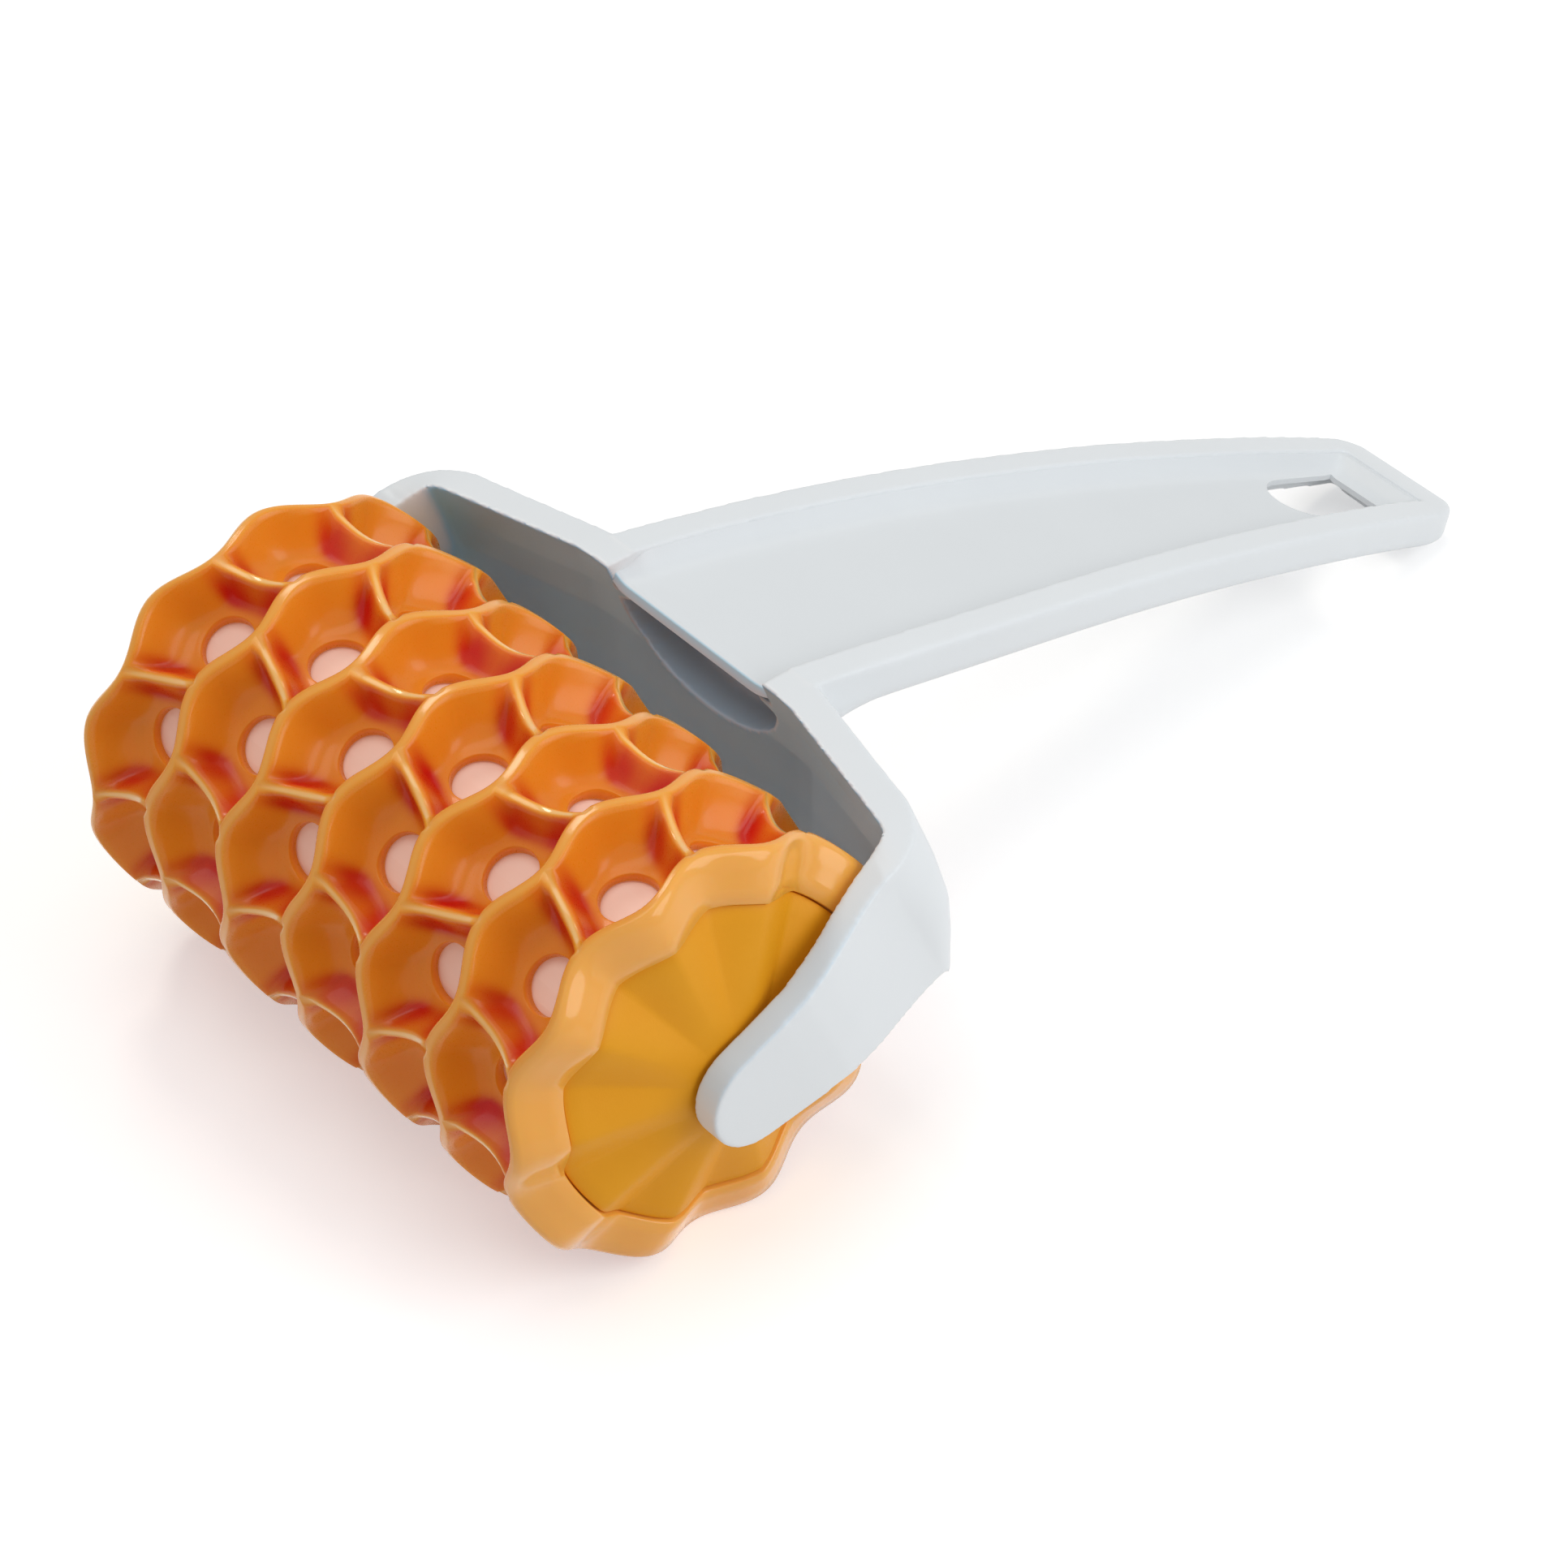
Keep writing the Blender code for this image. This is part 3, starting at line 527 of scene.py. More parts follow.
def bake_level(piece, mesh):
    """Gives a piece its finished mesh, in the handle's tilted place, and drops its guides."""
    for step in piece.modifiers:
        if step.type == "BOOLEAN":
            bpy.data.objects.remove(step.object, do_unlink=True)
    piece.modifiers.clear()
    piece.data = mesh
    mesh.transform(piece.matrix_world)
    piece.matrix_world = Matrix.Identity(4)
    mesh.shade_smooth()


def soften(piece, depth, rounds, more_rounds, ease):
    """Remeshes a piece evenly and smooths it. `ease` gives each place's part in the extra rounds."""
    remesh = piece.modifiers.new("even", "REMESH")
    remesh.mode = "SHARP"
    remesh.octree_depth = depth
    remesh.scale = 0.99
    remesh.use_remove_disconnected = False
    done = evaluated(piece)
    edges = read_edges(done)
    places = relax(read_vectors(done, "co"), edges, rounds)
    places = relax(places, edges, more_rounds, ease(places)[:, None])
    done.vertices.foreach_set("co", places.ravel())
    done.update()
    bake_level(piece, done)


def from_start(values, start, run):
    """0 up to a start and 1 a run further on, with a straight rise between."""
    return np.clip((values - start) / run, 0.0, 1.0)


def in_level_frame(piece):
    """The places and the normals of a finished piece's points, in the level frame."""
    turn = np.array(level.inverted().to_3x3())
    places = read_vectors(piece.data, "co") - np.array(axle)
    return turn @ places.T, turn @ read_vectors(piece.data, "normal").T


def gentle(t):
    """A smooth step from 0 to 1."""
    t = min(max(t, 0.0), 1.0)
    return t * t * (3 - 2 * t)


print("handle tilted", round(degrees(TILT), 1), "degrees")

# %% [markdown]
# Each arm is a flat strap that widens from its round tip and leans in towards the back wall. The
# back wall curls round the drum, so its section has a knee. The same six points describe both, and
# a bend carries one into the other at the corners.

# %% Sections of the yoke
TIP_RADIUS = 7.3 * mm
ARM_INNER = 52.6 * mm
ARM_THICK = 4.3 * mm
ARM_TOP = radians(43)
ARM_FAN = radians(16.5)
FLAT_REACH = 9 * mm
ARM_REACH = 30 * mm
SET_IN = 4.7 * mm
SET_IN_REACH = 33 * mm
CORNER = Vector((20.6, 46.95, 29.15)) * mm
CORNER_ROUND = 6 * mm
CORNER_FOOT = 7.8 * mm
CORNER_SWELL = 2.8 * mm
FOOT_SWELL = 1.1 * mm
WALL_THICK = 5.1 * mm
WALL_LIFT = 1.7 * mm
WALL_BOW = 4.8 * mm
KNEE_DROP = 9.9 * mm
KNEE_ROUND = 0.45
UPPER_LEAN = 0.8
LOWER_LEAN = 0.25
WALL_FOOT = 6 * mm
WALL_RISE = 3.1 * mm
ROOT_HALF = 20.9 * mm

out_along = Vector((cos(ARM_TOP), sin(ARM_TOP)))
out_across = Vector((-out_along.y, out_along.x))


def fill_side(foot, knee, top):
    """Five points up one side, with the knee rounded."""
    low, high = foot.lerp(knee, 1 - KNEE_ROUND), knee.lerp(top, KNEE_ROUND)
    return [foot, low, (low + knee * 2 + high) / 4, high, top]


def full_section(points):
    """The closed outline of a section, from its six points."""
    inner, outer = points[:3], points[3:]
    return fill_side(*inner) + list(reversed(fill_side(*reversed(outer))))


def arm_section(s):
    """Section of an arm at a distance s from the axle."""
    curve = sqrt(max(TIP_RADIUS ** 2 - s * s, 0.0))
    touches = -TIP_RADIUS * sin(ARM_FAN)
    high = curve if s < 0 else TIP_RADIUS
    low = curve if s < touches else TIP_RADIUS / cos(ARM_FAN) + s * tan(ARM_FAN)
    top, foot = out_along * s + out_across * high, out_along * s - out_across * low
    inner = ARM_INNER - SET_IN * gentle((s - FLAT_REACH) / (SET_IN_REACH - FLAT_REACH))
    outer = inner + ARM_THICK
    middle = (top + foot) / 2
    six = ((foot, inner), (middle, inner), (top, inner), (top, outer), (middle, outer), (foot, outer))
    return [Vector((p.x, y, p.y)) for p, y in six]


def wall_section(y):
    """Section of the back wall at a distance y from the middle."""
    part = 1 - min(abs(y) / CORNER.y, 1.0)
    rim_share = min(part * CORNER.y / (CORNER.y - ROOT_HALF), 1.0)
    top_z, top_x = CORNER.z + WALL_RISE * rim_share, CORNER.x + WALL_BOW * rim_share
    knee_z, knee_x = top_z - KNEE_DROP, top_x + UPPER_LEAN * KNEE_DROP
    foot_z = CORNER_FOOT + (WALL_FOOT - CORNER_FOOT) * gentle(part * 2)
    foot_x = knee_x + LOWER_LEAN * (knee_z - foot_z)
    inner = [(foot_x, foot_z), (knee_x, knee_z), (top_x, top_z)]
    outer = [(top_x, top_z + WALL_LIFT), (knee_x, knee_z), (foot_x, foot_z)]
    return [Vector((x, y, z)) for x, z in inner + [(x + WALL_THICK, z) for x, z in outer]]


mid_section = wall_section(0.0)
print("back wall", round((mid_section[3].z - mid_section[0].z) / mm, 1), "mm high")

# %% [markdown]
# The sections are strung from the tip of one arm through the corner and along the back wall, and
# the other half is the same list mirrored.

# %% Loft the yoke
STRAIGHT_FROM = 16 * mm
SWELLS = (0.0, 0.0, 0.0, 0.0, CORNER_SWELL, FOOT_SWELL)
PULLS = (5.0, 5.0, 5.0, 1.0, 1.0, 1.0)
ARM_STEPS, BEND_STEPS, WALL_STEPS = 10, 16, 13
wall_start = CORNER.y - CORNER_ROUND

steps = [-TIP_RADIUS * c for c, _ in rays((6, 14, 24, 34, 45, 57, 69, 80))]
steps += [TIP_RADIUS * t for t in (0, 0.25, 0.5, 0.75, 1.0, 1.6)]
steps += [STRAIGHT_FROM + (ARM_REACH - STRAIGHT_FROM) * t / ARM_STEPS for t in range(ARM_STEPS + 1)]
half = [arm_section(s) for s in steps]
last_arm, first_wall = half[-1], wall_section(wall_start)
corners = [Vector((p.x + swell, CORNER.y + (ARM_THICK if i > 2 else 0.0) + swell, p.z))
           for i, (p, swell) in enumerate(zip(wall_section(CORNER.y), SWELLS))]
for n in range(1, BEND_STEPS):
    t = n / BEND_STEPS
    bent = []
    for arm, corner, wall, weight in zip(last_arm, corners, first_wall, PULLS):
        pull = 2 * t * (1 - t) * weight
        total = (1 - t) ** 2 + pull + t * t
        bent.append((arm * (1 - t) ** 2 + corner * pull + wall * t * t) / total)
    half.append(bent)
half += [wall_section(wall_start * (1 - n / WALL_STEPS)) for n in range(WALL_STEPS)]
half = [full_section(points) for points in half]
other_half = [[Vector((p.x, -p.y, p.z)) for p in points] for points in reversed(half)]
moulding = level_piece("white_moulding", half + [full_section(mid_section)] + other_half)
print("yoke lofted from", 2 * len(half) + 1, "sections")

# %% [markdown]
# The handle is a long shallow trough. Its width, the arch of its rim and its depth change along
# it, so each is read from a short table of stations, through a smooth curve. The underside is a
# half ellipse below an upright skirt.

# %% Stations of the handle
ROOT_X = 29.2 * mm
LENGTH = 139.3 * mm
RIM_Z = 33.9 * mm
ARCH = 4.4 * mm
RIM_WIDTH = 4.7 * mm
SKIRT = 4.7 * mm
ROOT_DEPTH = 11 * mm
END_DEPTH = 7 * mm
ROOT_EXTRA = 4.8 * mm
END_ROUND = 2.4 * mm
HULL_WALL = 2.4 * mm
WALL_OVERLAP = 0.6 * mm
FAN_SHARE = 0.1
EXTRA_SHARE = 0.12
END_SHARE = 0.957
TRAY_SHARE = 0.92
STATIONS = (0.0, 0.1, 0.16, 0.27, 0.387, 0.5, 0.615, 0.732, 0.849, 0.92, 0.957, 0.986, 1.0)
WIDTHS = (1.0, 0.995, 0.986, 0.957, 0.906, 0.849, 0.791, 0.727, 0.662, 0.62, 0.595, 0.54, 0.43)
ARCHES = (0.0, 0.34, 0.5, 0.74, 0.92, 1.0, 0.98, 0.84, 0.62, 0.42, 0.3, 0.22, 0.17)


def read_table(values, share):
    """A smooth curve through the values at the stations."""
    i = max(k for k in range(len(STATIONS) - 1) if STATIONS[k] <= share or k == 0)
    span = STATIONS[i + 1] - STATIONS[i]

    def slope(k):
        low, high = max(k - 1, 0), min(k + 1, len(STATIONS) - 1)
        return (values[high] - values[low]) / (STATIONS[high] - STATIONS[low]) * span
    t = (share - STATIONS[i]) / span
    return (values[i] * (1 + 2 * t) * (1 - t) ** 2 + slope(i) * t * (1 - t) ** 2
            + values[i + 1] * t * t * (3 - 2 * t) + slope(i + 1) * t * t * (t - 1))


def x_at(share):
    return ROOT_X + LENGTH * share


def share_at(x, most=1.0):
    """How far along the handle x lies, from 0 at its root to 1 at its end."""
    return min(max((x - ROOT_X) / LENGTH, 0.0), most)


def half_width_at(share):
    return ROOT_HALF * read_table(WIDTHS, share)


def rim_at(share):
    return RIM_Z + ARCH * read_table(ARCHES, share)


def hull_start(z):
    """Where the handle begins at a height: just within the back wall's outer face."""
    top, knee, foot = mid_section[3:]
    upper, lower = (top, knee) if z > knee.z else (knee, foot)
    return lower.x + (upper.x - lower.x) * (z - lower.z) / (upper.z - lower.z) - WALL_OVERLAP


def hull_x(share, z):
    """Place of a station: the first ones fan out from the sloping back wall."""
    start = hull_start(z)
    return start + (x_at(FAN_SHARE) - start) * share / FAN_SHARE if share < FAN_SHARE else x_at(share)


def mirrored(side):
    """A half outline and its mirror image, which share the last point."""
    return side + [(-y, z) for y, z in reversed(side[:-1])]


shares = [TRAY_SHARE * n / 36 for n in range(37)]
shares += [0.935, 0.95, 0.96, 0.97, 0.98, 0.99, 0.996, 1.0]
outlines = []
for share in shares:
    w, rim = half_width_at(share), rim_at(share)
    depth = ROOT_DEPTH + (END_DEPTH - ROOT_DEPTH) * share
    depth += ROOT_EXTRA * max(0.0, 1 - share / EXTRA_SHARE) ** 1.5
    depth -= END_ROUND * gentle((share - END_SHARE) / (1 - END_SHARE))
    skirt = min(SKIRT, depth)
    side = [(w * c, rim - skirt - (depth - skirt) * s) for c, s in rays(range(0, 91, 10))]
    outlines.append([(hull_x(share, z), y, z) for y, z in mirrored([(w, rim)] + side)])
add_cut(moulding, level_piece("handle_guide", outlines), "UNION")
print("handle lofted from", len(outlines), "stations")

# %% [markdown]
# The tray, the hollow below its floor, the hanging slot and the sockets for the axle are cut out
# one after another. Each cutter is a loft too, and goes when the moulding is done.

# %% Cut the tray, the hollow, the slot and the sockets
TRAY_DEPTH = 3.3 * mm
TRAY_SIDE = 2 * mm
TRAY_END = 4.2 * mm
FLOOR_THICK = 1.6 * mm
END_WALL = 4.8 * mm
END_X = ROOT_X + LENGTH - END_WALL
OVER = 4 * mm
HOLLOW_SHARE = 0.5
POCKET_INSET = 0.35 * mm
POCKET_SINK = 0.3 * mm
LEDGE_DEPTH, LEDGE_WIDTH = 1.1 * mm, 1 * mm
MOUTH_DEEPER, MOUTH_WIDER = 8 * mm, 2 * mm


def tray_width(x):
    """Half width of the tray between its rims."""
    return half_width_at(share_at(x, TRAY_SHARE)) - RIM_WIDTH


def tray_rim(x):
    return rim_at(share_at(x, TRAY_SHARE))


def under_floor(x):
    """Height of the underside of the tray's floor."""
    return tray_rim(x) - TRAY_DEPTH - FLOOR_THICK


tray_xs = [CORNER.x - OVER] + [x_at(TRAY_SHARE * n / 30) for n in range(31)]
tray_outlines = []
for x in tray_xs + [END_X - POCKET_INSET]:
    w = tray_width(x) - POCKET_INSET
    right = [(x, w, tray_rim(x) + OVER), (x, w, under_floor(x) - POCKET_SINK)]
    tray_outlines.append(right + [(a, -b, c) for a, b, c in reversed(right)])
add_cut(moulding, level_piece("tray_guide", tray_outlines))

lip_x = hull_start(RIM_Z - ROOT_DEPTH - ROOT_EXTRA)
hollow_shares = [FAN_SHARE + (HOLLOW_SHARE - FAN_SHARE) * n / 12 for n in range(13)]
hollow_outlines = []
for n, x in enumerate([CORNER.x - OVER, lip_x] + [x_at(share) for share in hollow_shares]):
    share = share_at(x) if n > 1 else 0.0
    w, top = tray_width(x_at(share)), under_floor(x_at(share))
    shelf = top - LEDGE_DEPTH
    low = shelf - (rim_at(share) - ROOT_DEPTH - (END_DEPTH - ROOT_DEPTH) * share + HULL_WALL)
    half_width = w - LEDGE_WIDTH
    side = [(half_width - TRAY_SIDE, top), (half_width - TRAY_SIDE, shelf)]
    if n < 2:
        low += ROOT_EXTRA
    if n == 0:
        half_width, low = half_width + MOUTH_WIDER, low + MOUTH_DEEPER
    side += [(half_width * c, shelf - low * s) for c, s in rays(range(6, 91, 12))]
    hollow_outlines.append([(x, y, z) for y, z in mirrored(side)])
add_cut(moulding, level_piece("hollow_guide", hollow_outlines))

SLOT_HALF, SLOT_LENGTH = 5.5 * mm, 17.8 * mm
SIDE_RELIEF, END_RELIEF, RELIEF_SHARE = 3 * mm, 5 * mm, 0.77
SOCKET_RADIUS, SOCKET_DEPTH = 3.3 * mm, 2.4 * mm
slot_end = END_X - TRAY_END - 1 * mm
slot_round = slot_end - SLOT_LENGTH + SLOT_HALF


def cut_slot(piece, wider=0.0, longer=0.0, top=RIM_Z + ARCH + OVER):
    """Cuts the slot out of a piece up to a height, and wider and longer if asked."""
    half_width, end = SLOT_HALF + wider, slot_end + longer
    shape = [(end, half_width)]
    shape += [(slot_round - half_width * s, half_width * c) for c, s in rays(range(0, 181, 12))]
    shape.append((end, -half_width))
    rows = [[(x, y, z) for x, y in shape] for z in (RIM_Z - ROOT_DEPTH - OVER, top)]
    add_cut(piece, level_piece("slot_guide", rows))


cut_slot(moulding)
cut_slot(moulding, SIDE_RELIEF, END_RELIEF, under_floor(x_at(RELIEF_SHARE)))
for side in (1, -1):
    rows = [[(SOCKET_RADIUS * c, side * y, SOCKET_RADIUS * s) for c, s in rays(range(0, 360, 15))]
            for y in (ARM_INNER - OVER, ARM_INNER + SOCKET_DEPTH)]
    add_cut(moulding, level_piece("socket_guide", rows))

KEEP_RIM, KEEP_END = 3.2 * mm, 1.6 * mm
EASE_START, EASE_ALONG, EASE_ACROSS = 4 * mm, 8 * mm, 1.2 * mm
EVEN_DEPTH, ROUNDS, MORE_ROUNDS = 9, 6, 9


def handle_share(places):
    """0 on the yoke and round the tray, and 1 on the outer side of the handle."""
    x, y, z = places.T
    xs = np.linspace(ROOT_X, x_at(1.0), 80)
    widths = np.interp(x, xs, [half_width_at(share_at(a)) for a in xs])
    rims = np.interp(x, xs, [rim_at(share_at(a)) for a in xs])
    outside = np.maximum(np.abs(y) - widths + KEEP_RIM, x - END_X - KEEP_END)
    outside = np.maximum(outside, rims - z - SKIRT)
    return from_start(x - ROOT_X, EASE_START, EASE_ALONG) * from_start(outside, 0.0, EASE_ACROSS)


soften(moulding, EVEN_DEPTH, ROUNDS, MORE_ROUNDS, handle_share)
print("moulding", len(moulding.data.vertices), "points")

# %% [markdown]
# Orange light from the drum falls on the faces that look towards it, but the real ones stay a
# neutral grey, so a bluer, darker colour is painted on them as shade. A value from 0 to 1 marks
# where that shade is painted: the inner faces of the yoke, the walls of the hollow and the arms'
# upper edges.

# %% Mark where shade is painted near the drum
DRUM_REACH = 44 * mm
YOKE_HALF = 48.5 * mm
ARM_FROM = 46 * mm
# How much shade is painted on the walls of the hollow and on the arms' upper edges.
HOLLOW_SHADE = 0.62
ARM_EDGE_SHADE = 0.27

places, outwards = read_vectors(moulding.data, "co"), read_vectors(moulding.data, "normal")
towards_drum = np.array(axle) - places
towards_drum[:, 1] = 0.0
distance = np.linalg.norm(towards_drum, axis=1)
facing = np.sum(towards_drum / distance[:, None] * outwards, axis=1)
near_drum = (distance < DRUM_REACH) & (np.abs(places[:, 1]) < YOKE_HALF)
# Painted shade on the faces near the drum that look towards it.
inside = from_start(np.where(near_drum, facing, 0.0), 0.25, 0.35)

(x, y, z), (to_x, to_y, to_z) = in_level_frame(moulding)
xs = np.linspace(CORNER.x, x_at(HOLLOW_SHARE + 0.02), 60)
floors = np.interp(x, xs, [under_floor(a) for a in xs])
widths = np.interp(x, xs, [tray_width(a) for a in xs])
in_hollow = (z < floors + 0.2 * mm) & (np.abs(y) < widths) & (x < xs[-1]) & (x > CORNER.x)
turned_in = ((floors - z) * to_z - y * to_y > -0.2 * mm) & (to_x < 0.5)
# Painted shade on the walls of the hollow.
inside = np.where(in_hollow & turned_in, HOLLOW_SHADE, inside)

upwards = to_x * out_across.x + to_z * out_across.y
on_arm = np.where(np.abs(y) > ARM_FROM, from_start(x, CORNER.x - 2 * mm, -9 * mm), 0.0)
# Painted shade on the arms' upper edges.
inside = np.maximum(inside, ARM_EDGE_SHADE * on_arm * from_start(upwards, 0.5, 0.4))
paint(moulding, "inside", inside)
print(int((in_hollow & turned_in).sum()), "points marked in the hollow")

# %% [markdown]
# ## The tray's floor
# The floor is a thin plate whose edges run up the tray's sides in a soft curve, so the corner
# catches no hard line. The far wall is plainer and meets the sides in a crisp corner. The front
# edge hangs free over the hollow and shows as a bright lip.

# %% Dish the floor
DISH_BLEND = 3.4 * mm
DISH_TOP = 2.85 * mm
END_BLEND = 1.1 * mm
BELOW_RIM = 0.45 * mm
FRONT_ROUND = 0.9 * mm
FRONT_FALL = 0.5 * mm
EMBED = 0.6 * mm
DISH_COLUMNS = 96
FRONT_CLIMB = 0.25
CLIMB_RUN = 4 * mm
THINNER = 0.8 * mm
front_x = mid_section[3].x - 3 * mm
dish_end_x = END_X - POCKET_INSET + EMBED


def dish_height(x, y):
    """Height of the dish above its flat floor, from the sides and the end of the tray."""
    side = (abs(y) - (tray_width(x) - TRAY_SIDE)) * TRAY_DEPTH / TRAY_SIDE
    end = (x - (END_X - TRAY_END)) * TRAY_DEPTH / TRAY_END
    climb = FRONT_CLIMB + (1 - FRONT_CLIMB) * gentle((x - front_x - FRONT_ROUND) / CLIMB_RUN)
    rise = soft_over(soft_over(0.0, side, DISH_BLEND), soft_over(0.0, end, END_BLEND), END_BLEND)
    return climb * min(rise, DISH_TOP, rim_at(share_at(x)) - BELOW_RIM - tray_rim(x) + TRAY_DEPTH)


def dish_outline(x):
    """The dish's section at x: rounded off at the front, and thinner round the slot."""
    w = tray_width(x) - POCKET_INSET + EMBED
    top = tray_rim(x) - TRAY_DEPTH
    thick = FLOOR_THICK - THINNER * gentle((x - slot_end + SLOT_LENGTH + 6 * mm) / (5 * mm))
    across = 1 - min((x - front_x) / FRONT_ROUND, 1.0)
    fall = FRONT_FALL * (1 - sqrt(1 - across * across))
    ys = [w * sin(pi / 2 * (1 - 2 * n / DISH_COLUMNS)) for n in range(DISH_COLUMNS + 1)]
    row = [(x, y, top + dish_height(x, y) - fall) for y in ys]
    return row + [(x, y, top - thick + dish_height(x, y)) for y in reversed(ys)]


rows = [dish_outline(front_x + FRONT_ROUND * (1 - c)) for c, _ in rays(range(0, 90, 9))]
fine_x = dish_end_x - 7 * mm
start_x = front_x + FRONT_ROUND
rows += [dish_outline(start_x + (fine_x - start_x) * n / 110) for n in range(110)]
rows += [dish_outline(fine_x + (dish_end_x - fine_x) * n / 28) for n in range(29)]
tray_floor = level_piece("tray_floor", rows)
cut_slot(tray_floor)
bake_level(tray_floor, evaluated(tray_floor))
tray_floor.data.set_sharp_from_angle(angle=SHARP_EDGE)
(x, _, _), (to_x, _, _) = in_level_frame(tray_floor)
# The lip looks towards the drum, so it gets the same bluer painted shade.
lip_shade = from_start(x - front_x, 1.44 * mm, -1.2 * mm) * from_start(to_x, -0.5, -0.4)
paint(tray_floor, "inside", lip_shade)
print("tray floor", len(tray_floor.data.vertices), "points")

# %% [markdown]
# ## Put the new pieces in place of the frame's solids
# The new pieces take over from the frame's plainer solids, which are hidden, and ride on the same
# bodies. The core tube and the axle are round already, so they only get better finishes.

# %% Rides and replacements
new_pieces = ((lattice, "cutter_drum", "drum", "cutter_orange"),
              (cap_near, "end_cap_near", "drum", "cap_amber"),
              (cap_far, "end_cap_far", "drum", "cap_amber"),
              (moulding, "handle_shell", "handle", "handle_white"),
              (tray_floor, "tray_panel", "handle", "panel_white"))
for piece, node, body, slot in new_pieces:
    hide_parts(node)
    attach(piece, body)
core, rod = bpy.data.objects["drum_core"], bpy.data.objects["axle_rod"]

# %% [markdown]
# ## A way to write finishes
# Node trees are easier to read as formulas. `Field` wraps one socket, so that adding,
# subtracting or multiplying fields makes the Math nodes. The method `node` of `Nodes` makes any
# node, and `Finish` adds what the finishes here have in common.

# %% Fields and finishes


def connect(slot, value):
    """Feeds a socket from a field, a colour or a number."""
    if isinstance(value, Field):
        slot.id_data.links.new(value.socket, slot)
    elif isinstance(value, tuple) and len(value) == 3 and len(slot.default_value) == 4:
        slot.default_value = (*value, 1.0)
    else:
        slot.default_value = value


class Field:
    """A value that varies over a surface, which comes out of a socket."""

    def __init__(self, socket):
        self.socket = socket

    def maths(self, operation, *values):
        nodes = Nodes(self.socket.id_data)
        return nodes.node("ShaderNodeMath", {"operation": operation}, dict(enumerate(values)))

    def __add__(self, other):
        return self.maths("ADD", self, other)

    def __sub__(self, other):
        return self.maths("SUBTRACT", self, other)

    def __rsub__(self, other):
        return self.maths("SUBTRACT", other, self)

    def __mul__(self, other):
        return self.maths("MULTIPLY", self, other)

    __radd__ = __add__
    __rmul__ = __mul__


class Nodes:
    """One node tree, and a method that makes any node in it."""

    def __init__(self, tree):
        self.tree = tree

    def node(self, kind, settings=None, inputs=None, output=0):
        """A node of a kind: its settings are made first, and then its sockets are fed."""
        node = self.tree.nodes.new(kind)
        for name, value in (settings or {}).items():
            if name == "stops":
                ramp = node.color_ramp.elements
                while len(ramp) < len(value):
                    ramp.new(0.5)
                for stop, (place, colour) in zip(ramp, value):
                    stop.position = place
                    stop.color = (*colour, 1.0)
            else:
                setattr(node, name, value)
        for name, value in (inputs or {}).items():
            connect(node.inputs[name], value)
        return Field(node.outputs[output])

    def seen(self):
        """1 for rays from the camera, and for those that gloss or clear plastic sends on."""
        camera, gloss, clear = (self.node("ShaderNodeLightPath", output=f"Is {kind} Ray")
                                for kind in ("Camera", "Glossy", "Transmission"))
        return camera + gloss + clear

    def blend(self, share, first, second, output):
        """Mixes two shaders and sends the result to the tree's output."""
        mixed = self.node("ShaderNodeMixShader", {}, {0: share, 1: first, 2: second})
        connect(self.tree.nodes[output].inputs["Surface"], mixed)


class Finish(Nodes):
    """A material with one Principled shader."""

    def __init__(self, name):
        self.material = bpy.data.materials.new(name)
        self.material.use_nodes = True
        super().__init__(self.material.node_tree)
        self.shader = self.tree.nodes["Principled BSDF"]

    def place(self):
        """The place on the piece, in metres."""
        return self.node("ShaderNodeTexCoord", output="Object")

    def noise(self, size, place=None, detail=2.0):
        """Soft noise whose blobs are about this many metres wide."""
        return self.node("ShaderNodeTexNoise", {},
                         {"Vector": place or self.place(), "Scale": 1 / size, "Detail": detail})

    def between(self, value, low, high, at_low=0.0, at_high=1.0):
        """A smooth ramp from one value to another."""
        return self.node("ShaderNodeMapRange", {"interpolation_type": "SMOOTHSTEP"},
                         {"Value": value, "From Min": low, "From Max": high,
                          "To Min": at_low, "To Max": at_high})

    def spread(self, noise, at_low, at_high):
        """Stretches a noise, which hardly leaves 0.3 to 0.7, over two values."""
        return self.between(noise, 0.3, 0.7, at_low, at_high)

    def mix(self, share, first, second):
        """A colour between two colours."""
        return self.node("ShaderNodeMix", {"data_type": "RGBA"}, {0: share, 6: first, 7: second}, 2)

    def bump(self, height, depth):
        """A bump whose full height is this many metres."""
        return self.node("ShaderNodeBump", {}, {"Strength": 1.0, "Distance": depth, "Height": height})

    def set(self, **values):
        """Sets the shader's sockets, whose names are written with underscores."""
        for name, value in values.items():
            connect(self.shader.inputs[name.replace("_", " ")], value)


def dress(piece, finish):
    """Puts a finish on a piece, in the place of any that it has."""
    piece.data.materials.clear()
    piece.data.materials.append(finish.material)


print("fields and finishes are ready")
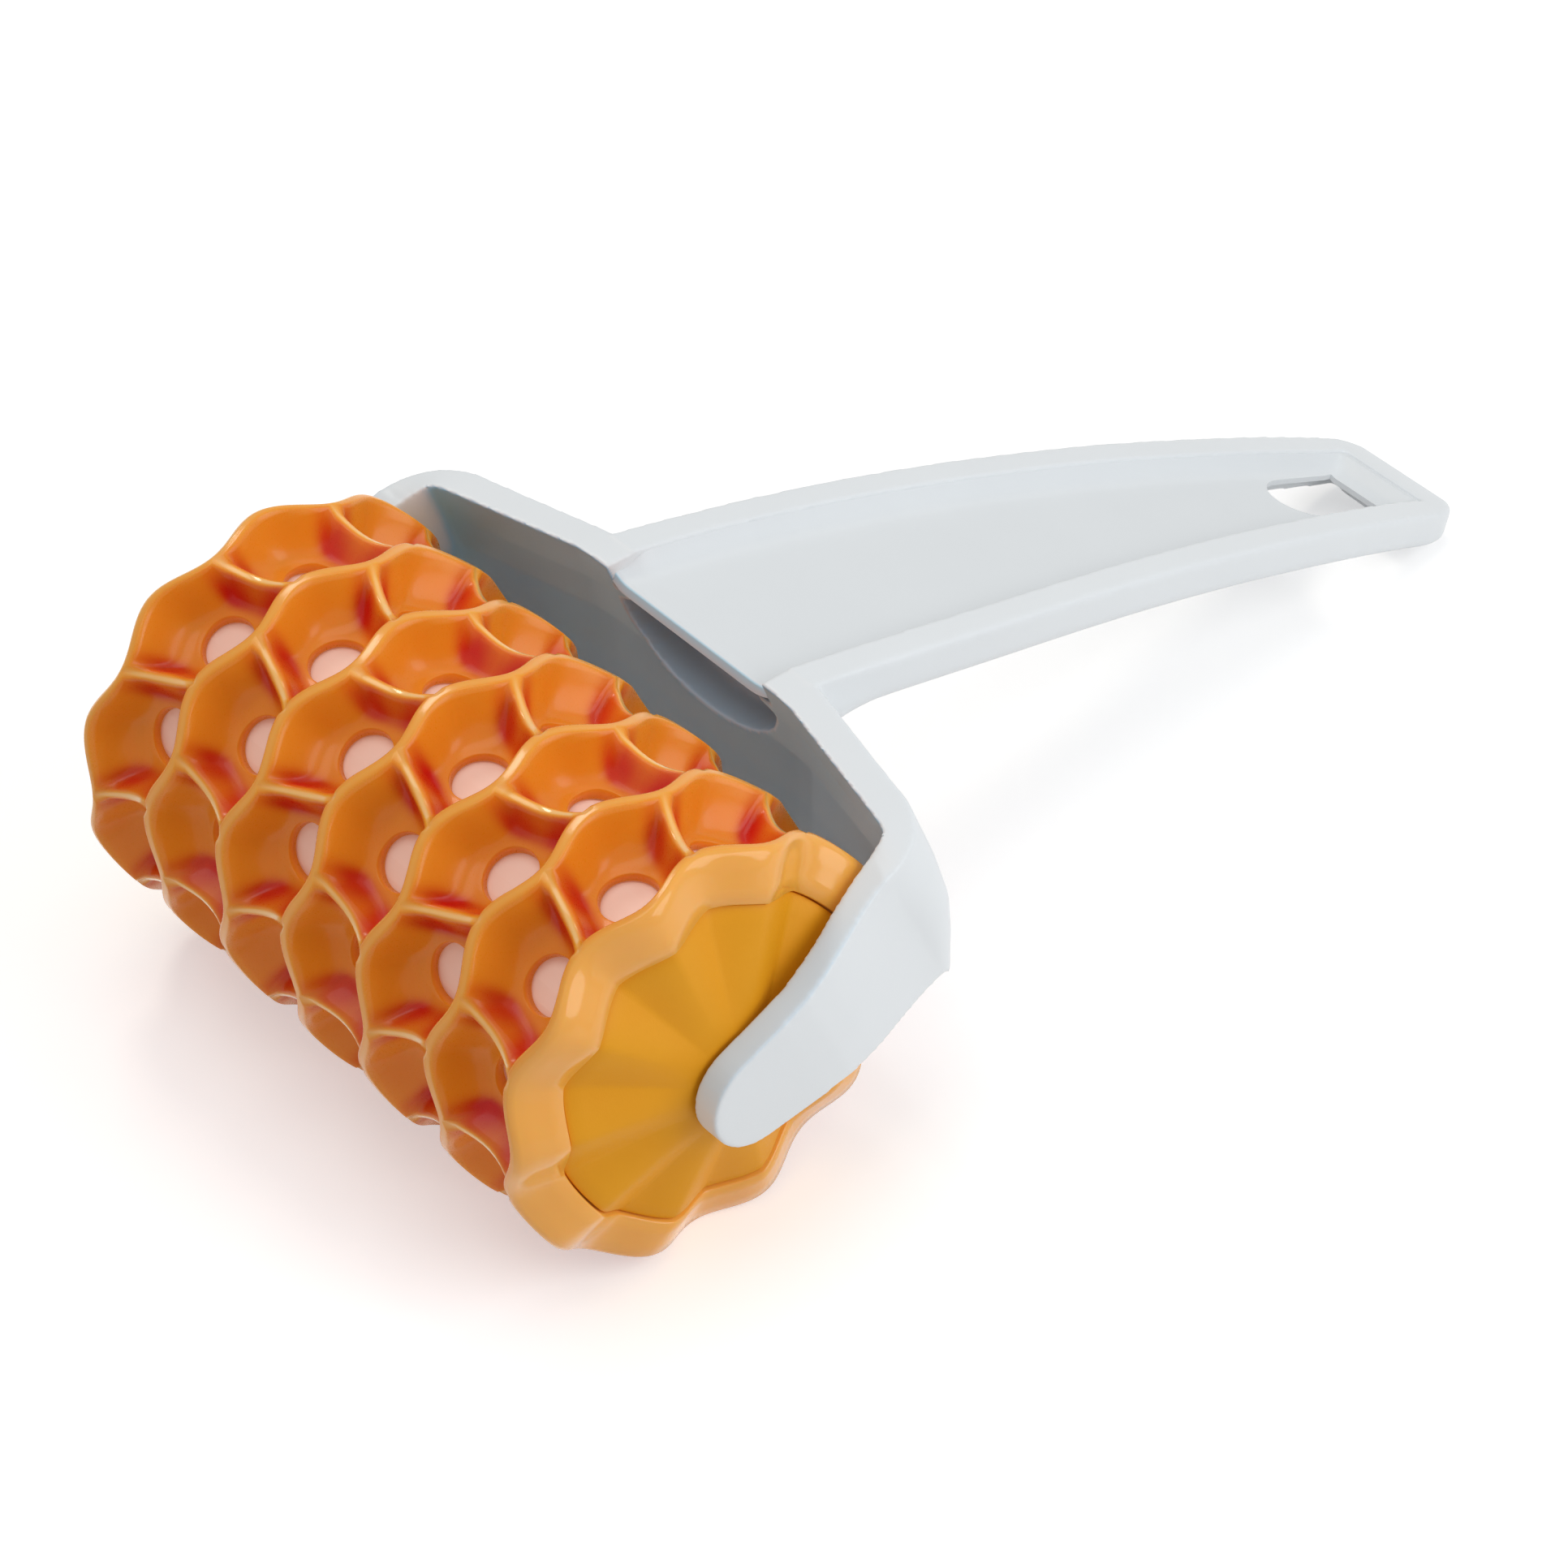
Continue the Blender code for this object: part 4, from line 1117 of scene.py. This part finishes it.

# %% [markdown]
# ## Orange see-through plastic
# Light goes a few millimetres into the drum's clear orange plastic, and subsurface scattering
# gives that glow. The tone that was worked out with the walls paints light and shade into the
# colour: pale, peachy highlights along the ridges and a saturated red shade in the creases beside
# the ribs. A weak emission paints a further glow in the same colour. The ridges are also polished
# brighter than the floors, which a second glossy layer shows.

# %% The drum's finish
orange = Finish("orange_clear_plastic")
tone = orange.node("ShaderNodeAttribute", {"attribute_name": "tone"}, output="Fac")
# Pale for the painted highlights, plain orange on the walls, deep red for the painted shade in the
# creases.
colour = orange.node("ShaderNodeValToRGB",
                     {"stops": [(0.0, (0.92, 0.52, 0.15)), (0.25, (0.85, 0.38, 0.055)),
                                (0.5, (0.8, 0.255, 0.014)), (1.0, (0.6, 0.01, 0.003))]},
                     {"Fac": orange.between(tone, -1.0, 1.0)})
cloudy = orange.between(orange.noise(9 * mm), 0.35, 0.65, 0.0, 0.12)
colour = orange.mix(cloudy, colour, (0.85, 0.36, 0.03))
grain = orange.spread(orange.noise(0.25 * mm), 0.0, 0.05)
ridges = 1 - orange.between(tone, -0.6, -0.2)
# The emission is a painted glow in the drum's own colour, which lifts its shaded side.
orange.set(Base_Color=colour, Roughness=orange.between(tone, -0.3, 0.0, 0.14, 0.27) + grain,
           Normal=orange.bump(orange.noise(1.6 * mm), 0.03 * mm), IOR=1.5, Specular_IOR_Level=0.22,
           Coat_Weight=0.12 + 0.78 * ridges, Coat_Roughness=0.09,
           Subsurface_Weight=0.25, Subsurface_Radius=(1.0, 0.3, 0.06), Subsurface_Scale=4 * mm,
           Emission_Color=colour, Emission_Strength=0.05)
dress(lattice, orange)
print("orange nodes", len(orange.tree.nodes))

# %% [markdown]
# The caps are the same plastic family but more yellow, and satin: their fan has a fine grain,
# so it shows no sharp reflections.

# %% The caps' finish
amber = Finish("amber_satin_plastic")
grain = amber.noise(0.2 * mm)
amber.set(Base_Color=amber.mix(amber.noise(6 * mm), (0.8, 0.33, 0.009), (0.81, 0.355, 0.012)),
          Roughness=amber.spread(grain, 0.42, 0.54), Specular_IOR_Level=0.2,
          Normal=amber.bump(grain, 0.02 * mm))
for cap in (cap_near, cap_far):
    dress(cap, amber)
print("amber nodes", len(amber.tree.nodes))

# %% [markdown]
# The core behind the lattice is a pale tube. A pink blush painted into its colour stands for the
# orange light round it, and a weak emission paints the glow of the light that comes through the drum.

# %% The core's finish
pale = Finish("pale_core_plastic")
# The pink in both colours is painted reflected light from the drum; the emission is a painted glow.
pale.set(Base_Color=pale.mix(pale.noise(4 * mm), (0.93, 0.69, 0.58), (0.95, 0.75, 0.65)),
         Roughness=pale.spread(pale.noise(0.3 * mm), 0.42, 0.52), Specular_IOR_Level=0.25,
         Emission_Color=(0.95, 0.58, 0.43), Emission_Strength=0.1)
dress(core, pale)
print("core nodes", len(pale.tree.nodes))

# %% [markdown]
# ## White plastics
# The white moulding has a very fine spark-eroded grain, which keeps its highlights wide and soft.
# A slight waviness comes from shrinking in the mould. The value that was painted on both white
# pieces turns their colour bluer and darker where they look towards the drum: a painted shade
# against the orange light that the drum throws there.

# %% The white finishes


def white_plastic(name, colour, dull, shade_colour):
    """White plastic, with a bluer colour painted as shade where it faces the orange drum."""
    finish = Finish(name)
    grain = finish.noise(0.22 * mm, detail=3.0)
    inside = finish.node("ShaderNodeAttribute", {"attribute_name": "inside"}, output="Fac")
    cloudy = finish.mix(finish.noise(14 * mm), colour, tuple(c * 0.97 for c in colour))
    finish.set(Base_Color=finish.mix(inside, cloudy, shade_colour),
               Roughness=finish.spread(grain, dull, dull + 0.08),
               Normal=finish.bump(grain * 0.15 + finish.noise(9 * mm), 0.05 * mm))
    return finish


# The last colour of each is the bluer painted shade for faces that look towards the drum.
dress(moulding, white_plastic("white_moulded_plastic", (0.785, 0.82, 0.845), 0.34, (0.33, 0.7, 1.0)))
dress(tray_floor, white_plastic("white_tray_plastic", (0.745, 0.78, 0.805), 0.4, (0.5, 0.81, 1.0)))
print("white finishes on", moulding.name, "and", tray_floor.name)

# %% [markdown]
# The axle is turned steel. Fine rings from the lathe run round it, so the noise is squeezed
# along its length.

# %% The axle's finish
steel = Finish("turned_steel")
squeezed = steel.node("ShaderNodeMapping", {}, {"Vector": steel.place(), "Scale": (1.0, 40.0, 1.0)})
rings = steel.noise(6 * mm, squeezed)
steel.set(Base_Color=steel.mix(rings, (0.5, 0.5, 0.51), (0.62, 0.62, 0.63)), Metallic=1.0,
          Roughness=steel.spread(rings, 0.25, 0.4), Normal=steel.bump(rings, 0.01 * mm))
dress(rod, steel)
print("finishes", len(bpy.data.materials))

# %% [markdown]
# ## The table
# The table is a plain white plane. For the camera, and in reflections, it gives off a little light
# of its own, so that its lit part is pure white and the soft shadow of the tool stays. Otherwise
# that glow lights nothing.

# %% A white table
FLOOR_GLOW = 0.43
DULL, SHEEN = 0.9, 0.1
bpy.ops.mesh.primitive_plane_add(size=6.0, location=(0.0, 0.0, 0.0))
table = bpy.context.object
table.name = "table"
paper = Finish("white_table")
paper.set(Base_Color=paper.mix(paper.noise(3 * mm), (0.84, 0.835, 0.83), (0.86, 0.855, 0.85)),
          Roughness=DULL, Specular_IOR_Level=SHEEN)
glow = paper.node("ShaderNodeBsdfPrincipled", {},
                  {"Base Color": (0.85, 0.845, 0.84), "Roughness": DULL, "Specular IOR Level": SHEEN,
                   "Emission Color": (0.985, 0.99, 1.0), "Emission Strength": FLOOR_GLOW})
paper.blend(paper.seen(), Field(paper.shader.outputs[0]), glow, "Material Output")
dress(table, paper)
print("table nodes", len(paper.tree.nodes))

# %% [markdown]
# ## Light
# A large soft lamp stands to the right of the camera, a second one hangs overhead, and the white
# surroundings fill the rest. A smaller warm lamp behind the tool puts the bright streaks on the
# ribs. The camera and the reflections see the surroundings as plain white.

# %% Lamps and surroundings
FILL = 0.37
LAMP_AIM = Vector((-0.01, 0.0, 0.03))
world = bpy.data.worlds.new("white_room")
bpy.context.scene.world = world
world.use_nodes = True
room = Nodes(world.node_tree)
fill = room.node("ShaderNodeBackground", {}, {"Color": (0.97, 0.985, 1.0), "Strength": FILL})
plain = room.node("ShaderNodeBackground", {}, {"Color": (1.0, 1.0, 1.0), "Strength": 1.0})
room.blend(room.seen(), fill, plain, "World Output")


def soft_lamp(name, place, size, watts):
    """A round lamp that looks at the tool."""
    lamp = bpy.data.lights.new(name, "AREA")
    lamp.shape = "DISK"
    lamp.size = size
    lamp.energy = watts
    holder = add_object(name, lamp)
    holder.location = place
    holder.rotation_euler = (LAMP_AIM - Vector(place)).to_track_quat("-Z", "Y").to_euler()
    return lamp


soft_lamp("key_lamp", (0.25, -0.56, 0.38), 0.6, 2.2)
soft_lamp("overhead_lamp", (-0.14, 0.03, 0.74), 0.6, 1.45)
streak = soft_lamp("streak_lamp", (0.1, 0.44, 0.6), 0.18, 0.8)
streak.color = (1.0, 0.93, 0.82)

# %% [markdown]
# ## The camera
# The camera was worked out from the crests of the rings, whose spacing is known, and from the
# handle's outline. It looks down on the near end of the drum, through a long lens. The tool was
# found at a slightly different tilt, so the camera turns with it about the axle.

# %% The camera
AZIMUTH, ELEVATION = -0.69899, 0.70321
DISTANCE, SIDE, DOWN = 48.27775 * PITCH, -2.62953 * PITCH, -0.72121 * PITCH
FOCAL, IMAGE = 6873.59, 1932
FITTED_TILT = radians(18)
back = Vector((sin(AZIMUTH) * cos(ELEVATION), -cos(AZIMUTH) * cos(ELEVATION), sin(ELEVATION)))
right = Vector((cos(AZIMUTH), sin(AZIMUTH), 0.0))
up = back.cross(right)
seat = Matrix((right, up, back)).transposed().to_4x4()
seat.translation = back * DISTANCE - right * SIDE - up * DOWN
optics = bpy.data.cameras.new("camera")
optics.sensor_width = 36.0
optics.lens = FOCAL / IMAGE * optics.sensor_width
optics.clip_start = 0.01
camera = add_object("camera", optics)
camera.matrix_world = Matrix.Translation(axle) @ Matrix.Rotation(TILT - FITTED_TILT, 4, "Y") @ seat
bpy.context.scene.camera = camera
bpy.context.scene.view_settings.view_transform = "Standard"
print("lens", round(optics.lens, 1), "mm")
